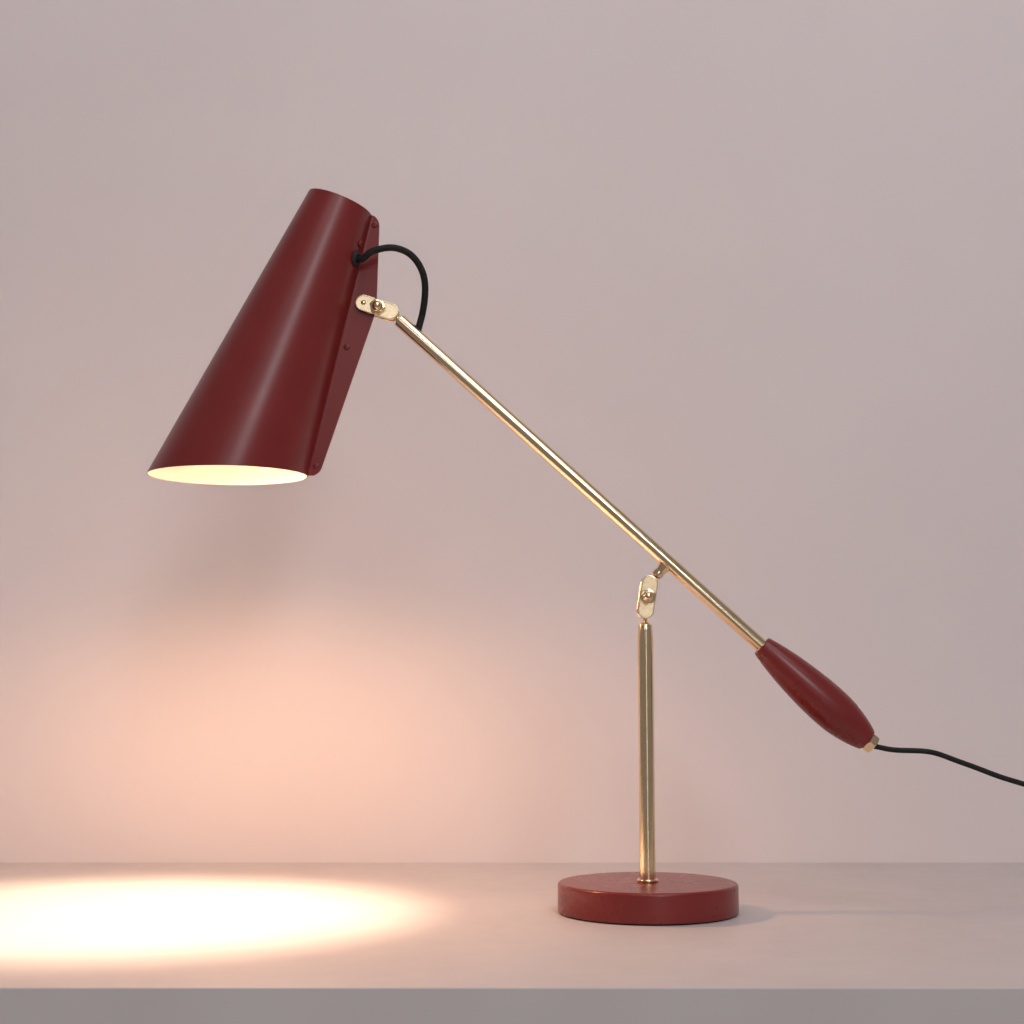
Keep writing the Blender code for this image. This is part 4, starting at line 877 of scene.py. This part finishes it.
def make_plug():
    placed = Matrix.Translation(PLUG_FRONT) @ Matrix.Rotation(math.radians(90), 4, "Y")
    body = pillow([(0.0, 0.0058, 0.0108, 0.0036), (0.0003, 0.0064, 0.0120, 0.0042),
                   (0.0010, 0.0069, 0.0127, 0.0046), (0.0030, 0.0070, 0.0130, 0.0048),
                   (0.0120, 0.0070, 0.0130, 0.0048), (0.0190, 0.0069, 0.0126, 0.0048),
                   (0.0250, 0.0066, 0.0109, 0.0048), (0.0300, 0.0061, 0.0086, 0.0046),
                   (0.0345, 0.0054, 0.0064, 0.0044), (0.0370, 0.0048, 0.0052, 0.0042)])
    shell = piece("plug_shell", body, BAKELITE, "base", placed, ["plug_body"], angle=50)
    made = [shell]
    for name, side in (("left", -0.0093), ("right", 0.0093)):
        at = placed @ Matrix.Translation((0, side, 0))
        tip = arc((0, -0.0172), 0.0020, 0, -90, 8)
        pin = turned([(0, 0.0060), (0.0020, 0.0060), (0.0020, -0.0100)] + tip[:-1] + [(0, tip[-1][1])], 40)
        made.append(piece(f"plug_pin_{name}_shown", pin, NICKEL, "base", at, [f"plug_pin_{name}"]))
    foot, first, count = 0.0373, 0.0385, 6
    rings = [(0.0027, foot), (0.0027, PLUG_LENGTH)]
    step = (PLUG_LENGTH - first) / count
    for k in reversed(range(count)):
        at = first + step * k
        outer = 0.0046 - 0.0012 * (at - foot) / (PLUG_LENGTH - foot)
        rings += [(outer - 0.0002, at + step * 0.95), (outer, at + step * 0.85), (outer, at + step * 0.40),
                  (outer - 0.0007, at + step * 0.30), (outer - 0.0007, at + step * 0.05)]
    rings += [(0.0046, first), (0.0046, foot)]
    made.append(piece("plug_sleeve", turned(rings, 48), RUBBER, "base", placed, ["plug_strain_relief"]))
    return made


def make_switch():
    placed = Matrix.Translation(SWITCH_CENTRE)
    half_w, half_l = SWITCH_WIDTH / 2, SWITCH_LENGTH / 2
    top, split = SWITCH_HEIGHT, SWITCH_SPLIT

    def shell(*levels):
        """A solid through (height, side inset, end inset, corner radius) levels."""
        return pillow([(z, half_w - side, half_l - end, corner) for z, side, end, corner in levels])

    low = shell((0.0002, 0.0022, 0.0022, 0.0050), (0.0008, 0.0008, 0.0008, 0.0058), (0.0018, 0, 0, 0.0064),
                (split - 0.0004, 0, 0, 0.0064), (split, 0.0003, 0.0003, 0.0062))
    cover = shell((split + GAP, 0.0003, 0.0003, 0.0062), (split + 0.0007, 0, 0, 0.0064),
                  (top - 0.0045, 0.0003, 0.0005, 0.0062), (top - 0.0024, 0.0009, 0.0013, 0.0058),
                  (top - 0.0010, 0.0021, 0.0028, 0.0050), (top - 0.0002, 0.0038, 0.0046, 0.0040),
                  (top, 0.0050, 0.0060, 0.0034))
    lower = piece("switch_lower", low, BAKELITE, "base", placed, ["switch_base"], angle=50)
    upper = piece("switch_upper", cover, BAKELITE, "base", placed, ["switch_cover"], angle=50)
    window = pillow([(z, 0.0063, 0.0108, 0.0008) for z in (split + 0.0012, top + 0.003)], 3)
    hollow(upper, window, placed)
    bore = MAINS_DIAMETER / 2 + 0.0002
    duct = turned([(0, -0.010), (bore, -0.010), (bore, 0.004), (0, 0.004)], 32)
    for target in (lower, upper):
        for side in (-1, 1):
            end = Matrix.Translation((SWITCH_CENTRE.x, SWITCH_CENTRE.y + side * half_l, CORD_IN_SWITCH))
            hollow(target, duct.copy(), end @ Matrix.Rotation(math.radians(-90 * side), 4, "X"))
    duct.free()
    spine = smooth_route([(0, -0.0100, 0.0010), (0, -0.0070, 0.0033), (0, 0, 0.0026), (0, 0.0070, 0.0033),
                          (0, 0.0100, 0.0010)], 0.0010)
    outline = [(p.y, p.z) for p in spine]
    outline += [(0.0098, -0.0006), (0.0040, -0.0016), (-0.0040, -0.0016), (-0.0098, -0.0006)]
    shape = skin([[(x, y, z) for y, z in outline] for x in (-0.0060, 0.0060)])
    at = Matrix.Translation(SWITCH_CENTRE + Vector((0, 0, 0.0148))) @ Matrix.Rotation(SWITCH_TILT, 4, "X")
    piece("rocker", shape, BAKELITE, "rocker", at, ["switch_rocker"], soften=0.0003)


# ---------------------------------------------------------------- stage, lights and camera

def make_stage():
    table = Finish("table_laminate", Specular_IOR_Level=0.35)
    table.colour(table.mix(table.range(table.noise(9, 4), 0, 1), (0.60, 0.545, 0.53), (0.64, 0.585, 0.57)))
    table.roughness(table.range(table.noise(40, 3), 0.42, 0.52))
    table.bump((table.noise(700, 2), 0.00002))
    wall = Finish("wall_paint", Specular_IOR_Level=0.2, Roughness=0.85)
    wall.colour(wall.mix(wall.range(wall.noise(2.5, 4), 0, 1), (0.78, 0.705, 0.69), (0.81, 0.735, 0.72)))
    wall.bump((wall.noise(160, 3), 0.0001))
    shape = bmesh.new()
    bmesh.ops.create_cube(shape, size=1.0)
    front, back, half, thick = -0.350, 0.402, 2.2, 0.030
    bmesh.ops.transform(shape, matrix=Matrix.Translation((0, (front + back) / 2, -thick / 2))
                        @ Matrix.Diagonal((2 * half, back - front, thick, 1)), verts=shape.verts)
    slab = piece("table", shape, table.material, None, soften=0.0012)
    shape = bmesh.new()
    corners = [(-half, back, -0.6), (half, back, -0.6), (half, back, 2.2), (-half, back, 2.2)]
    shape.faces.new([shape.verts.new(c) for c in corners])
    screen = piece("backdrop", shape, wall.material, None)
    # The backdrop is one-sided, so the views from behind see the lamp through it.
    sight = wall.node("ShaderNodeNewGeometry").outputs["Backfacing"]
    clear = wall.node("ShaderNodeBsdfTransparent").outputs[0]
    blend = wall.node("ShaderNodeMixShader")
    wall.link(sight, blend.inputs[0])
    wall.link(wall.shader.outputs[0], blend.inputs[1])
    wall.link(clear, blend.inputs[2])
    wall.link(blend.outputs[0], wall.tree.nodes["Material Output"].inputs["Surface"])


def area_light(name, place, target, size, power, colour):
    data = bpy.data.lights.new(name, "AREA")
    data.shape = "RECTANGLE"
    data.size, data.size_y = size
    data.energy = power
    data.color = colour
    made = bpy.data.objects.new(name, data)
    bpy.context.scene.collection.objects.link(made)
    made.location = place
    made.rotation_euler = (Vector(target) - Vector(place)).to_track_quat("-Z", "Y").to_euler()


def spot_light(name, place, towards, power, colour, angle, blend, size):
    data = bpy.data.lights.new(name, "SPOT")
    data.energy = power
    data.color = colour
    data.spot_size = math.radians(angle)
    data.spot_blend = blend
    data.shadow_soft_size = size
    made = bpy.data.objects.new(name, data)
    bpy.context.scene.collection.objects.link(made)
    made.location = place
    made.rotation_euler = Vector(towards).to_track_quat("-Z", "Y").to_euler()


def make_lights():
    """A dim room, a wide softbox overhead, a slim one in front, two panels and the lamp's own light."""
    world = bpy.data.worlds.new("studio")
    bpy.context.scene.world = world
    world.use_nodes = True
    sky = world.node_tree.nodes["Background"]
    sky.inputs["Color"].default_value = (1.0, 0.91, 0.93, 1)
    sky.inputs["Strength"].default_value = 0.20
    area_light("softbox_overhead", (0.3, -1.5, 2.5), (0.0, 0.15, 0.2), (2.2, 1.8), 25, (1.0, 0.97, 0.99))
    area_light("softbox_front", (1.15, -5.0, 2.35), (-0.1, 0, 0.4), (0.85, 1.7), 44, (0.97, 0.96, 1.0))
    area_light("panel_left", (-0.45, -2.1, 0.95), (-0.3, 0, 0.5), (0.50, 0.45), 0.9, (1.0, 0.98, 0.98))
    area_light("panel_low", (0.28, -2.5, 0.15), (0, 0, 0.15), (0.15, 0.9), 0.9, (1.0, 0.97, 0.94))
    mouth = SHADE_TOP + DOWN_SHADE * ((SHADE_TOP.z - SHADE_RIM_HEIGHT) / -DOWN_SHADE.z)
    below_bulb = SHADE @ Vector((0, 0, 0.184))
    spot_light("lamp_beam", below_bulb, (-0.20, 0, -0.98), 26, (1.0, 0.74, 0.52), 70, 0.7, 0.020)
    spot_light("lamp_glow", mouth, (0.0, 0, -1.0), 5.5, (1.0, 0.50, 0.25), 170, 0.6, 0.030)


def make_camera():
    data = bpy.data.cameras.new("camera")
    data.sensor_width = 36
    data.lens = 54.914
    made = bpy.data.objects.new("camera", data)
    bpy.context.scene.collection.objects.link(made)
    made.location = (-0.12069, -1.41768, 0.19733)
    made.rotation_euler = (math.radians(90 + 6.4638), 0, 0)
    bpy.context.scene.camera = made
    bpy.context.scene.view_settings.view_transform = "Standard"


make_camera()
make_stage()
make_lights()
make_base()
make_column()
make_studs()
make_knuckle("link", LINK, "link", LINK_PITCH, False)
make_knuckle("head", HEAD_LINK, "head", HEAD_PIN_AT, True)
make_arm()
make_counterweight()
make_gland()
make_shade()
make_shade_fittings()
make_cords()
make_switch()
wear(HOLDER_WHITE, "lampholder_cap", "lampholder_body")
wear(NICKEL, "bulb_cap")
wear(ZINC, "holder_bracket", "holder_nipple", "holder_nipple_nut", "foot_washer", "foot_nut", "foot_stud",
     "column_foot_insert", "column_stud_nut", "arm_stud_nut", "arm_end_stud_nut")
wear(BRONZE, "column_swivel_bush", "arm_end_bush")
wear(NYLON, "fin_washer_front", "fin_washer_rear")
wear(RUBBER, "gland_seal")
wear(CORD, "arm_inner_cord", "holder_lead")
